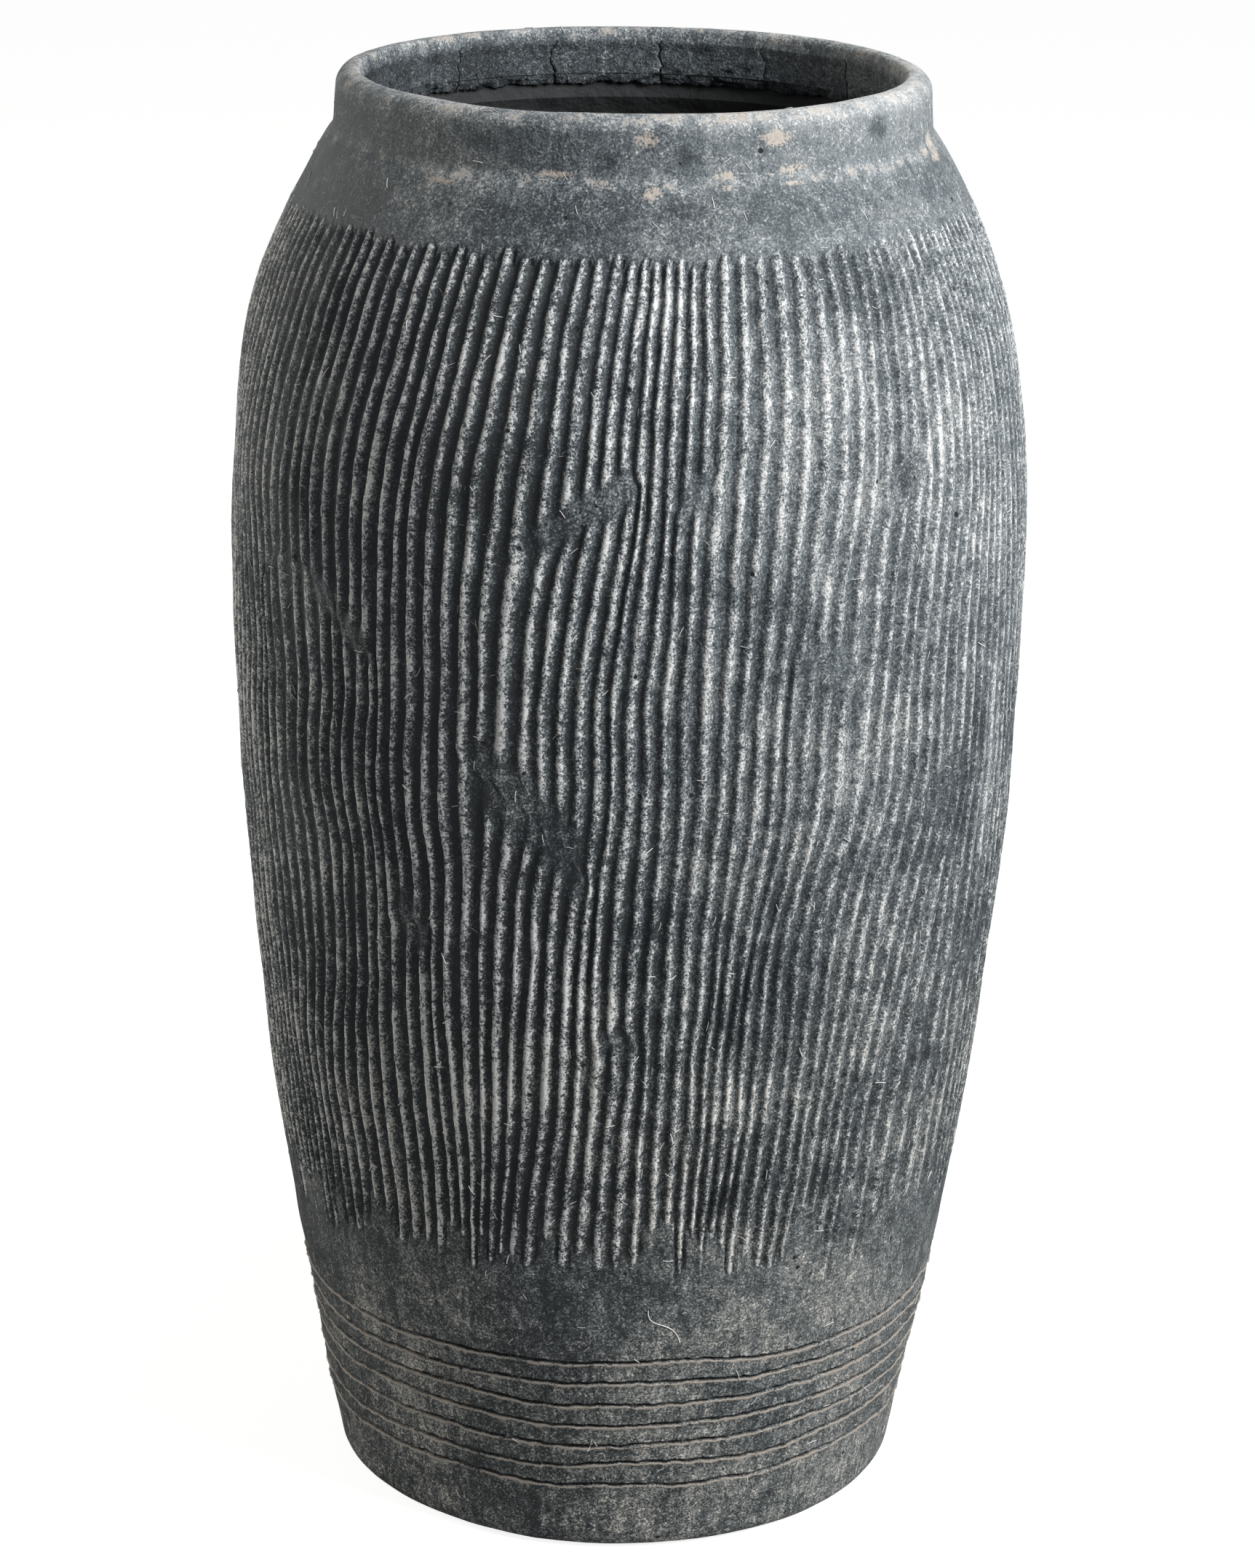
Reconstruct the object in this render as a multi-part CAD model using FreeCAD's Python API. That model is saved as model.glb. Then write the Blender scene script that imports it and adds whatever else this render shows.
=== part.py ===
import FreeCAD
import Part
import math
import os

# Urn vase of fibre clay, built up in sections that are luted together.
# Millimetres, Z up, origin at the middle of the base, in the plane that the vase stands on.

# Heights of the built sections, from the ground up
foot_height = 105.0
lower_body_height = 150.0
upper_body_height = 145.0
shoulder_height = 174.0
collar_height = 26.0

# Radii of the outline
base_radius = 119.7
belly_radius = 165.8
mouth_radius = 108.5

# Where the belly's slow curve gives way to the shoulder's quick one, between belly and collar
turn_height_share = 0.46
turn_inset_share = 0.128

# Walls and the joints between them
wall = 12.0
lap_height = 8.0
lute_gap = 0.2
overrun = 20.0

# Base slab: its rim carries the foot's wall, its middle is the floor
slab_rim_thickness = 10.0
floor_thickness = 16.0
rest_ring_width = 30.0
underside_recess = 2.0
base_edge_round = 8.0
base_coil_leg = 10.0

# Scored rings round the foot
ring_count = 7
lowest_ring_height = 33.0
ring_pitch = 9.75
ring_groove_width = 2.2

# Combed ribs from the lower body to the shoulder, with a plain band at each end
rib_count = 140
rib_groove_depth = 2.0
groove_share = 0.42
plain_band_below = 36.0
plain_band_above = 24.0

# Collar
collar_step = 2.0
collar_wall = 13.3
collar_taper = 1.8
collar_upstand_height = 6.0
upstand_wall = 4.5
ledge_overhang = 4.0
outer_lip_share = 0.66
inner_lip_share = 0.26

# Pads pressed round the inside of the collar, and the coil under them
pad_count = 15
pad_thickness = 3.0
pad_height = 14.0
pad_gap = 1.2
collar_coil_leg = 3.5

# How full a luting coil's face is: 0 lies along its legs, 1 runs straight between their ends
coil_face_share = 0.6

FULL_TURN = 360.0
MOST_WEDGES = 10
LEAN_ROUNDS = 8
CENTRE = FreeCAD.Vector(0, 0, 0)
UP = FreeCAD.Vector(0, 0, 1)

# Levels that follow from the heights
lower_joint = foot_height
middle_joint = lower_joint + lower_body_height
belly_level = middle_joint + upper_body_height
seat_level = belly_level + shoulder_height
ledge_level = seat_level + collar_upstand_height
rim_level = seat_level + collar_height

# Radii that follow from the mouth
collar_radius = mouth_radius + collar_wall
seat_radius = collar_radius + collar_step
shoulder_bore = mouth_radius + ledge_overhang
upstand_radius = shoulder_bore + upstand_wall
pad_recess_radius = mouth_radius + pad_thickness + lute_gap


def at(radius, height):
    """Point of the section plane."""
    return FreeCAD.Vector(radius, 0, height)


def on_circle(centre, radius, angle):
    return centre + at(radius * math.cos(angle), radius * math.sin(angle))


def arc(centre, radius, start, end):
    """Arc about a centre from one angle to another, in the section plane."""
    middle = (start + end) / 2
    points = [on_circle(centre, radius, angle) for angle in (start, middle, end)]
    return Part.Arc(*points).toShape()


def line(start, end):
    return Part.LineSegment(start, end).toShape()


def first(area):
    """The face that a cut or a common left in the section plane."""
    return area.Faces[0]


def turned(face, degrees=FULL_TURN):
    return face.revolve(CENTRE, UP, degrees)


def repeated(shape, count, step):
    """Copies of a shape, each turned by one more step about the upright axis."""
    copies = [shape.copy() for _ in range(count)]
    for index, placed in enumerate(copies):
        placed.rotate(CENTRE, UP, index * step)
    return copies


def rounded_face(corners):
    """Face from corners (radius, height, round), each corner with a round made an arc."""
    edges = []
    starts = []
    ends = []
    for index, (radius, height, rounding) in enumerate(corners):
        corner = at(radius, height)
        before = at(*corners[index - 1][:2]) - corner
        after = at(*corners[(index + 1) % len(corners)][:2]) - corner
        before.normalize()
        after.normalize()
        if rounding == 0:
            starts.append(corner)
            ends.append(corner)
            continue
        half_angle = before.getAngle(after) / 2
        reach = rounding / math.tan(half_angle)
        inward = before + after
        inward.normalize()
        middle = corner + inward * (rounding / math.sin(half_angle) - rounding)
        starts.append(corner + before * reach)
        ends.append(corner + after * reach)
        edges.append(Part.Arc(starts[-1], middle, ends[-1]).toShape())
    for index, end in enumerate(ends):
        start_of_next = starts[(index + 1) % len(starts)]
        edges.append(line(end, start_of_next))
    return Part.Face(Part.Wire(Part.__sortEdges__(edges)))


# Outline of the body: a cone for the foot, then three arcs, each tangent to the one below it

def cone_angle():
    """Lean of the foot's cone, found so that it runs smoothly into the arc up to the belly."""
    swell = belly_radius - base_radius
    arc_height = belly_level - foot_height
    half_tangent = 0.0
    for _ in range(LEAN_ROUNDS):
        cone_reach = 2 * foot_height / (1 - half_tangent ** 2)
        half_tangent = swell / (cone_reach + arc_height)
    return 2 * math.atan(half_tangent)


lean = cone_angle()
lower_arc_radius = (belly_level - foot_height) / math.sin(lean)
lower_arc_centre = at(belly_radius - lower_arc_radius, belly_level)

draw_in = belly_radius - seat_radius
turn_inset = turn_inset_share * draw_in
turn_height = turn_height_share * shoulder_height
upper_arc_radius = (turn_height ** 2 + turn_inset ** 2) / (2 * turn_inset)
upper_arc_centre = at(belly_radius - upper_arc_radius, belly_level)
turn_angle = 2 * math.atan(turn_inset / turn_height)

turn_point = on_circle(upper_arc_centre, upper_arc_radius, turn_angle)
turn_chord = at(seat_radius, seat_level) - turn_point
turn_normal = at(math.cos(turn_angle), math.sin(turn_angle))
shoulder_arc_radius = -turn_chord.Length ** 2 / (2 * turn_chord.dot(turn_normal))
shoulder_arc_centre = turn_point - turn_normal * shoulder_arc_radius
top_level = ledge_level + collar_upstand_height
top_angle = math.asin((top_level - shoulder_arc_centre.z) / shoulder_arc_radius)


def inside_outline(inset=0.0):
    """Face between the axis and the outline, with the outline moved inward by an inset."""
    lower_arc = arc(lower_arc_centre, lower_arc_radius - inset, -lean, 0)
    upper_arc = arc(upper_arc_centre, upper_arc_radius - inset, 0, turn_angle)
    shoulder_arc = arc(shoulder_arc_centre, shoulder_arc_radius - inset, turn_angle, top_angle)
    cone_top = on_circle(lower_arc_centre, lower_arc_radius - inset, -lean)
    run_down = cone_top.z + overrun
    cone_bottom = cone_top - at(run_down * math.tan(lean), run_down)
    top = on_circle(shoulder_arc_centre, shoulder_arc_radius - inset, top_angle)
    sides = [
        line(cone_bottom, cone_top),
        lower_arc,
        upper_arc,
        shoulder_arc,
        line(top, at(0, top.z)),
        line(at(0, top.z), at(0, cone_bottom.z)),
        line(at(0, cone_bottom.z), cone_bottom),
    ]
    return Part.Face(Part.Wire(sides))


def cone_radius(height, inset=0.0):
    """Radius of the foot's cone at a height, on its outside or at an inset from it."""
    below_arc = foot_height - height
    outside = on_circle(lower_arc_centre, lower_arc_radius, -lean).x - below_arc * math.tan(lean)
    return outside - inset / math.cos(lean)


def lower_arc_inside(height):
    inner = lower_arc_radius - wall
    return lower_arc_centre.x + math.sqrt(inner ** 2 - (height - belly_level) ** 2)


wall_area = first(inside_outline().cut(inside_outline(wall)))


# Sections of the wall

def lap_radius(level):
    """Radius of a lap joint's upright face: the middle of the wall there."""
    return lower_arc_inside(level) + wall / 2


def lap_steps(level, radius, gap):
    """Corners of a lap joint from the axis outward: high inside, low outside."""
    high = level + lap_height
    return [(0, high, 0), (radius + gap, high, 0), (radius + gap, level, 0), (belly_radius + overrun, level, 0)]


def band(bottom_steps, top_steps):
    """Part of the wall's section between two stepped lines."""
    region = rounded_face(bottom_steps + top_steps[::-1])
    return first(wall_area.common(region))


def lapped_band(bottom, top):
    half_gap = lute_gap / 2
    bottom_steps = lap_steps(bottom, lap_radius(bottom), half_gap)
    top_steps = lap_steps(top, lap_radius(top), -half_gap)
    return band(bottom_steps, top_steps)


def combed(section_area, bottom, top):
    """Turned section with the comb's grooves between two levels, cut in one wedge and repeated."""
    outer = belly_radius + overrun
    between = rounded_face([(0, bottom, 0), (outer, bottom, 0), (outer, top, 0), (0, top, 0)])
    groove_area = first(inside_outline(-overrun).cut(inside_outline(rib_groove_depth)).common(between))
    pitch = FULL_TURN / rib_count
    groove = turned(groove_area, pitch * groove_share)
    groove.rotate(CENTRE, UP, pitch * (1 - groove_share) / 2)
    wedge_count = math.gcd(rib_count, MOST_WEDGES)
    wedge_turn = FULL_TURN / wedge_count
    grooves = repeated(groove, rib_count // wedge_count, pitch)
    wedges = repeated(turned(section_area, wedge_turn).cut(grooves), wedge_count, wedge_turn)
    return wedges[0].fuse(wedges[1:]).removeSplitter() if wedge_count > 1 else wedges[0]


# Foot and floor

def base_slab():
    recess_radius = base_radius - rest_ring_width
    rim_radius = cone_radius(slab_rim_thickness)
    floor_radius = cone_radius(slab_rim_thickness, wall) - lute_gap
    return turned(rounded_face([
        (0, underside_recess, 0),
        (recess_radius, underside_recess, 0),
        (recess_radius, 0, 0),
        (cone_radius(0), 0, base_edge_round),
        (rim_radius, slab_rim_thickness, 0),
        (floor_radius, slab_rim_thickness, 0),
        (floor_radius, floor_thickness, 0),
        (0, floor_thickness, 0),
    ]))


def foot_section():
    outer = belly_radius + overrun
    bottom_steps = [(0, slab_rim_thickness, 0), (outer, slab_rim_thickness, 0)]
    top_steps = lap_steps(lower_joint, lap_radius(lower_joint), -lute_gap / 2)
    area = band(bottom_steps, top_steps)
    for index in range(ring_count):
        height = lowest_ring_height + index * ring_pitch
        groove = Part.makeCircle(ring_groove_width / 2, at(cone_radius(height), height), FreeCAD.Vector(0, 1, 0))
        area = first(area.cut(Part.Face(Part.Wire(groove))))
    return turned(area)


def luting_coil(corner, leg_ends):
    """Coil pressed into a corner: two legs, and a hollow face between their ends."""
    first_end, second_end = leg_ends
    halfway = (first_end + second_end) / 2
    hollow = corner + (halfway - corner) * coil_face_share
    face_arc = Part.Arc(first_end, hollow, second_end).toShape()
    return turned(Part.Face(Part.Wire([line(corner, first_end), face_arc, line(second_end, corner)])))


def base_seam_coil():
    corner = at(cone_radius(floor_thickness, wall + lute_gap), floor_thickness)
    along_floor = corner - at(base_coil_leg, 0)
    up_wall = corner + at(base_coil_leg * math.sin(lean), base_coil_leg * math.cos(lean))
    return luting_coil(corner, (along_floor, up_wall))


# Body and shoulder

def lower_body_section():
    area = lapped_band(lower_joint, middle_joint)
    return combed(area, lower_joint + plain_band_below, middle_joint + overrun)


def upper_body_section():
    area = lapped_band(middle_joint, belly_level)
    return combed(area, middle_joint - overrun, belly_level + overrun)


def shoulder_section():
    bottom_steps = lap_steps(belly_level, lap_radius(belly_level), lute_gap / 2)
    outer = belly_radius + overrun
    top_steps = [
        (shoulder_bore, ledge_level, 0),
        (upstand_radius - lute_gap, ledge_level, 0),
        (upstand_radius - lute_gap, seat_level, 0),
        (outer, seat_level, 0),
    ]
    bottom_steps[0] = (shoulder_bore, bottom_steps[0][1], 0)
    return combed(band(bottom_steps, top_steps), belly_level - overrun, seat_level - plain_band_above)


# Collar and its lining

def neck_collar():
    top_radius = collar_radius - collar_taper
    lip_width = top_radius - mouth_radius
    pads_top = ledge_level + pad_height
    return turned(rounded_face([
        (upstand_radius, seat_level, 0),
        (collar_radius, seat_level, 0),
        (top_radius, rim_level, lip_width * outer_lip_share),
        (mouth_radius, rim_level, lip_width * inner_lip_share),
        (mouth_radius, pads_top, 0),
        (pad_recess_radius, pads_top, 0),
        (pad_recess_radius, ledge_level, 0),
        (upstand_radius, ledge_level, 0),
    ]))


def collar_lining_pads():
    pads_top = ledge_level + pad_height
    outer = mouth_radius + pad_thickness
    pitch = FULL_TURN / pad_count
    width = pitch - math.degrees(pad_gap / mouth_radius)
    pad = turned(rounded_face([
        (mouth_radius, ledge_level, 0),
        (outer, ledge_level, 0),
        (outer, pads_top, 0),
        (mouth_radius, pads_top, 0),
    ]), width)
    return Part.makeCompound(repeated(pad, pad_count, pitch))


def collar_seam_coil():
    corner = at(shoulder_bore - lute_gap, ledge_level)
    along_ledge = corner - at(collar_coil_leg, 0)
    down_wall = corner - at(0, collar_coil_leg)
    return luting_coil(corner, (along_ledge, down_wall))


makers = [
    base_slab,
    base_seam_coil,
    foot_section,
    lower_body_section,
    upper_body_section,
    shoulder_section,
    neck_collar,
    collar_lining_pads,
    collar_seam_coil,
]

os.makedirs("parts", exist_ok=True)
for maker in makers:
    piece = maker()
    piece.exportStep(os.path.join("parts", maker.__name__ + ".step"))
    print(maker.__name__, len(piece.Solids), "solids,", len(piece.Faces), "faces, valid", piece.isValid())
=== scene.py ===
import math
import random

import bpy
import numpy as np
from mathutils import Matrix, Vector


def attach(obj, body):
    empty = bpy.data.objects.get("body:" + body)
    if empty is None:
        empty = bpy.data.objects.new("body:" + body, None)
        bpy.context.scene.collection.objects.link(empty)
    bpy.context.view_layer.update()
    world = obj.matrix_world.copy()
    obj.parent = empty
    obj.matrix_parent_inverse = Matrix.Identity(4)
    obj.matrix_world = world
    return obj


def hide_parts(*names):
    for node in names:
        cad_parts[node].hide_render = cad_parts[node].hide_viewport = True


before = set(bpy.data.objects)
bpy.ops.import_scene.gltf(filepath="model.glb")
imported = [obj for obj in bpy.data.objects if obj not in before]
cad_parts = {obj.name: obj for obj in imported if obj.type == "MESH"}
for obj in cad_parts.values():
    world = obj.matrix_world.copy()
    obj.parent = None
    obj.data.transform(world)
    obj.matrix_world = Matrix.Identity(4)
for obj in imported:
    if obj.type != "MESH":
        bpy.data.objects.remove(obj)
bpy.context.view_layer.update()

# BASE SLAB
# The floor of the vase, a disc of fibre clay beaten flat on a bat, with a shallow recess under it.
# Its rim rolls over at the bottom edge and carries the wall, which is luted on while both are soft.

MM = 0.001
base_radius = 119.7 * MM
foot_top = 105 * MM
belly_level = 400 * MM
belly_radius = 165.8 * MM
seat_level = 574 * MM
seat_radius = 123.8 * MM
wall = 12 * MM
slab_rim = 10 * MM
floor_level = 16 * MM
underside_recess = 2 * MM
rest_ring_width = 30 * MM
base_edge_round = 8 * MM

# The outline is a cone for the foot, a long arc to the belly, a quicker one, and the shoulder's arc.
half_tangent = 0.0
for _ in range(8):
    cone_reach = 2 * foot_top / (1 - half_tangent ** 2)
    half_tangent = (belly_radius - base_radius) / (cone_reach + belly_level - foot_top)
lean = 2 * math.atan(half_tangent)
lower_arc_radius = (belly_level - foot_top) / math.sin(lean)
turn_height = 0.46 * (seat_level - belly_level)
turn_inset = 0.128 * (belly_radius - seat_radius)
upper_arc_radius = (turn_height ** 2 + turn_inset ** 2) / (2 * turn_inset)
turn_angle = 2 * math.atan(turn_inset / turn_height)
turn_point = Vector((belly_radius - turn_inset, belly_level + turn_height))
turn_normal = Vector((math.cos(turn_angle), math.sin(turn_angle)))
turn_chord = Vector((seat_radius, seat_level)) - turn_point
shoulder_arc_radius = -turn_chord.length_squared / (2 * turn_chord.dot(turn_normal))
shoulder_arc_centre = turn_point - turn_normal * shoulder_arc_radius


def wall_radius(height, inset=0.0):
    """Radius of the wall at a height, on its outside or at an inset from it."""
    if height < foot_top:
        cone_top = belly_radius - lower_arc_radius * (1 - math.cos(lean))
        return cone_top - (foot_top - height) * math.tan(lean) - inset / math.cos(lean)
    if height < belly_level:
        centre, radius = (belly_radius - lower_arc_radius, belly_level), lower_arc_radius
    elif height < turn_point[1]:
        centre, radius = (belly_radius - upper_arc_radius, belly_level), upper_arc_radius
    else:
        centre, radius = shoulder_arc_centre, shoulder_arc_radius
    return centre[0] + math.sqrt((radius - inset) ** 2 - (height - centre[1]) ** 2)


def rounded(corner, before, after, radius, steps=6):
    """Points of the arc that rounds a corner of an outline, from one side of it to the other."""
    corner = Vector(corner)
    to_before = (Vector(before) - corner).normalized()
    to_after = (Vector(after) - corner).normalized()
    half = to_before.angle(to_after) / 2
    centre = corner + (to_before + to_after).normalized() * (radius / math.sin(half))
    start = corner + to_before * (radius / math.tan(half)) - centre
    end = corner + to_after * (radius / math.tan(half)) - centre
    sweep = start.angle(end)
    points = []
    for step in range(steps + 1):
        share = step / steps
        spoke = start * math.sin((1 - share) * sweep) + end * math.sin(share * sweep)
        points.append(tuple(centre + spoke / math.sin(sweep)))
    return points


def levels(*runs):
    """Heights of an outline's points, from runs of (start, end, spacing)."""
    heights = []
    for start, end, spacing in runs:
        count = max(1, round(abs(end - start) / spacing))
        heights += [start + (end - start) * step / count for step in range(count)]
    return heights + [runs[-1][1]]


def turned(name, outline, skin, columns, crisp=()):
    """Closed shell turned from (radius, height) points: up the outside, over the top, down the inside.

    skin is 1 for each point that shows outside. crisp are the points whose edge stays sharp.
    """
    outline = np.array(outline)
    counts = np.where(outline[:, 0] > 0, columns, 1)
    starts = np.concatenate([[0], np.cumsum(counts)])
    turn = np.arange(columns) * 2 * math.pi / columns - math.pi
    places = []
    for (radius, height), count in zip(outline, counts):
        angles = turn[:count]
        places.append(np.stack([radius * np.sin(angles), -radius * np.cos(angles), height + 0 * angles], 1))
    places = np.concatenate(places)
    here = np.arange(columns)
    ahead = (here + 1) % columns
    faces = []
    for row in range(len(outline)):
        above = (row + 1) % len(outline)
        low, high = starts[row], starts[above]
        if counts[row] == 1 and counts[above] == 1:
            continue
        if counts[row] == 1:
            faces += np.stack([low + 0 * here, high + ahead, high + here], 1).tolist()
        elif counts[above] == 1:
            faces += np.stack([low + here, low + ahead, high + 0 * here], 1).tolist()
        else:
            faces += np.stack([low + here, low + ahead, high + ahead, high + here], 1).tolist()
    mesh = bpy.data.meshes.new(name)
    mesh.from_pydata(places.tolist(), [], faces)
    mesh.shade_smooth()
    row_of_point = np.repeat(np.arange(len(outline)), counts)
    edges = np.zeros(len(mesh.edges) * 2, np.int32)
    mesh.edges.foreach_get("vertices", edges)
    edge_rows = row_of_point[edges].reshape(-1, 2)
    sharp = (edge_rows[:, 0] == edge_rows[:, 1]) & np.isin(edge_rows[:, 0], list(crisp))
    mesh.attributes.new("sharp_edge", "BOOLEAN", "EDGE").data.foreach_set("value", sharp)
    # The outline's own normal at each point, so that a joint's edge moves the same way in both pieces.
    run = np.roll(outline, -1, 0) - np.roll(outline, 1, 0)
    for row in range(len(outline)):
        if skin[row] and (not skin[row - 1] or row == 0):
            run[row] = outline[row + 1] - outline[row]
        elif skin[row] and not skin[(row + 1) % len(outline)]:
            run[row] = outline[row] - outline[row - 1]
    run /= np.maximum(np.linalg.norm(run, axis=1, keepdims=True), 1e-9)
    shares = np.concatenate([np.arange(count) / columns for count in counts])
    marks = {"round": shares, "skin": np.array(skin, float)[row_of_point]}
    marks["out"] = run[row_of_point, 1]
    marks["up"] = -run[row_of_point, 0]
    for title, values in marks.items():
        mesh.attributes.new(title, "FLOAT", "POINT").data.foreach_set("value", values.astype(np.float32))
    blank = bpy.data.objects.new(name, mesh)
    bpy.context.scene.collection.objects.link(blank)
    return blank


eased = {"interpolation_type": "SMOOTHSTEP"}
in_colour = {"output": 2, "data_type": "RGBA"}


def add(tree, kind, *values, named=None, output=0, **settings):
    """Adds a node to a tree with its settings and inputs, and gives back one of its outputs.

    kind is the node's name without its family, or, in capitals, the sum that a Math node works out.
    """
    if kind.isupper():
        kind, settings["operation"] = "Math", kind
    in_geometry = tree.type == "GEOMETRY"
    families = ("GeometryNode", "FunctionNode", "ShaderNode") if in_geometry else ("ShaderNode",)
    family = next(family for family in families if hasattr(bpy.types, family + kind))
    node = tree.nodes.new(family + kind)
    for setting, value in settings.items():
        setattr(node, setting, value)
    for socket, value in list(enumerate(values)) + list((named or {}).items()):
        if isinstance(value, bpy.types.NodeSocket):
            tree.links.new(value, node.inputs[socket])
        elif value is not None:
            node.inputs[socket].default_value = value
    return node.outputs[output]


def geometry_tree(name, sizes):
    """Empty geometry tree with a shape in, a shape out, and a named input for each size."""
    tree = bpy.data.node_groups.new(name, "GeometryNodeTree")
    tree.interface.new_socket("Shape", in_out="INPUT", socket_type="NodeSocketGeometry")
    for title, value in sizes.items():
        socket = tree.interface.new_socket(title, in_out="INPUT", socket_type="NodeSocketFloat")
        socket.default_value = value
    tree.interface.new_socket("Shape", in_out="OUTPUT", socket_type="NodeSocketGeometry")
    return tree, tree.nodes.new("NodeGroupInput").outputs, tree.nodes.new("NodeGroupOutput").inputs


def worked(blank, tree, sizes=None):
    """Runs a geometry tree on a blank and keeps what comes out as its plain mesh."""
    modifier = blank.modifiers.new(tree.name, "NODES")
    modifier.node_group = tree
    for item in tree.interface.items_tree:
        if item.in_out == "INPUT" and item.name in (sizes or {}):
            modifier[item.identifier] = sizes[item.name]
    bpy.context.view_layer.update()
    finished = blank.evaluated_get(bpy.context.evaluated_depsgraph_get())
    mesh = bpy.data.meshes.new_from_object(finished)
    blank.modifiers.remove(modifier)
    blank.data = mesh
    return blank


def read_blank(tree):
    """What a tree reads off its blank: each point's place, height, skin and share of the way round."""
    place = add(tree, "InputPosition")
    height = add(tree, "SeparateXYZ", place, output=2)
    skin = add(tree, "InputNamedAttribute", "skin")
    return place, height, skin, add(tree, "InputNamedAttribute", "round")


def hand_uneven(tree, place):
    """How far the hand left the surface below its true outline at a place: swells of 90 and 28 mm."""
    x = add(tree, "SeparateXYZ", place)
    height = x.node.outputs[2]
    low_body = add(tree, "MapRange", height, 110 * MM, 210 * MM, 2.0, 8.5)
    high_body = add(tree, "MapRange", height, 520 * MM, 572 * MM, 8.5, 3.0)
    give = add(tree, "MINIMUM", low_body, high_body)
    drier = add(tree, "MapRange", x, -20 * MM, 120 * MM, 1.0, 0.45)
    give = add(tree, "MULTIPLY", give, drier)
    swell = add(tree, "TexNoise", place, None, 11.0, 1.0, 0.5)
    swell = add(tree, "SUBTRACT", swell, 0.34)
    swell = add(tree, "MAXIMUM", swell, 0.0)
    swell = add(tree, "MULTIPLY", swell, give)
    dent = add(tree, "TexNoise", place, None, 36.0, 2.0, 0.5)
    depth = add(tree, "MULTIPLY_ADD", dent, 0.7, swell)
    return add(tree, "MULTIPLY", depth, MM)


def set_along_normal(tree, shape, turn, rise):
    """Moves each point to an angle about the axis and out along the outline's normal."""
    place = add(tree, "InputPosition")
    height = add(tree, "SeparateXYZ", place, output=2)
    flat = add(tree, "VectorMath", place, (1.0, 1.0, 0.0), operation="MULTIPLY")
    radius = add(tree, "VectorMath", flat, operation="LENGTH", output=1)
    out = add(tree, "InputNamedAttribute", "out")
    up = add(tree, "InputNamedAttribute", "up")
    new_radius = add(tree, "MULTIPLY_ADD", rise, out, radius)
    new_height = add(tree, "MULTIPLY_ADD", rise, up, height)
    sine = add(tree, "SINE", turn)
    cosine = add(tree, "COSINE", turn)
    x = add(tree, "MULTIPLY", new_radius, sine)
    to_front = add(tree, "MULTIPLY", new_radius, cosine)
    y = add(tree, "MULTIPLY", to_front, -1.0)
    new_place = add(tree, "CombineXYZ", x, y, new_height)
    return add(tree, "SetPosition", shape, None, new_place)


def linear(code):
    """Colour that Blender mixes with, from an sRGB hex code."""
    channels = [int(code[index:index + 2], 16) / 255 for index in (1, 3, 5)]
    curved = [value / 12.92 if value <= 0.04045 else ((value + 0.055) / 1.055) ** 2.4 for value in channels]
    return (*curved, 1.0)


def drawn(curve, first, last, between):
    """Draws a float curve from its first level to its last through the points between."""
    points = curve.node.mapping.curves[0].points
    points[0].location = (0.0, first)
    points[1].location = (1.0, last)
    for across, level in between:
        points.new(across, level)
    curve.node.mapping.update()


def new_finish(name):
    """New material, with its tree of nodes and its shader."""
    finish = bpy.data.materials.new(name)
    finish.use_nodes = True
    return finish, finish.node_tree, finish.node_tree.nodes["Principled BSDF"]


# Charcoal wash on fibre clay: a black oxide wash is brushed on fired clay and wiped off, then pale grey
# is dragged over it with a nearly dry brush. That gives a matte near-black ground, which stays in the
# grooves, and a crisp pale speckle on whatever stands proud, thicker in cloudy patches.
washed_clay, wash, wash_shader = new_finish("charcoal wash on fibre clay")
wash_shader.inputs["Specular IOR Level"].default_value = 0.3
spot = add(wash, "TexCoord", output=3)
crown, combing, smeared, slot, lip, rubbed, stained, chipped, scuffed = (
    add(wash, "Attribute", attribute_name=mark, output=2)
    for mark in ("crown", "combing", "smeared", "slot", "lip", "rubbed", "stained", "chipped", "scuffed")
)
# Specks of 0.4 mm in clusters of 0.9 mm, drawn coarser than the real tooth so that they show, then grit
# of 2.4 mm, blotches of 9 mm and clouds of 55 mm.
speck = add(wash, "TexNoise", spot, None, 1 / (0.9 * MM), 3.0, 0.75)
grit = add(wash, "TexNoise", spot, None, 1 / (2.4 * MM), 4.0, 0.7)
blotch = add(wash, "TexNoise", spot, None, 1 / (9 * MM), 4.0, 0.65)
cloud = add(wash, "TexNoise", spot, None, 1 / (55 * MM), 3.0, 0.6)
# The crowns' edges are crumbly, so the grit decides where each one ends and where its pale crest is.
crumbly = add(wash, "SUBTRACT", grit, 0.5)
crumbly = add(wash, "MULTIPLY", crumbly, combing)
crown = add(wash, "MULTIPLY_ADD", crumbly, 0.7, crown)
crest = add(wash, "MapRange", crown, 0.6, 0.98, 0.0, 1.0, **eased)
flank = add(wash, "MapRange", crown, 0.08, 0.72, 0.0, 1.0, **eased)
# The brush was dragged down the wall, which leaves upright streaks 3 mm wide and 60 mm long.
drag = add(wash, "VectorMath", spot, (1 / (3 * MM), 1 / (3 * MM), 1 / (60 * MM)), operation="MULTIPLY")
streak = add(wash, "TexNoise", drag, None, 1.0, 3.0, 0.6)
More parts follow.
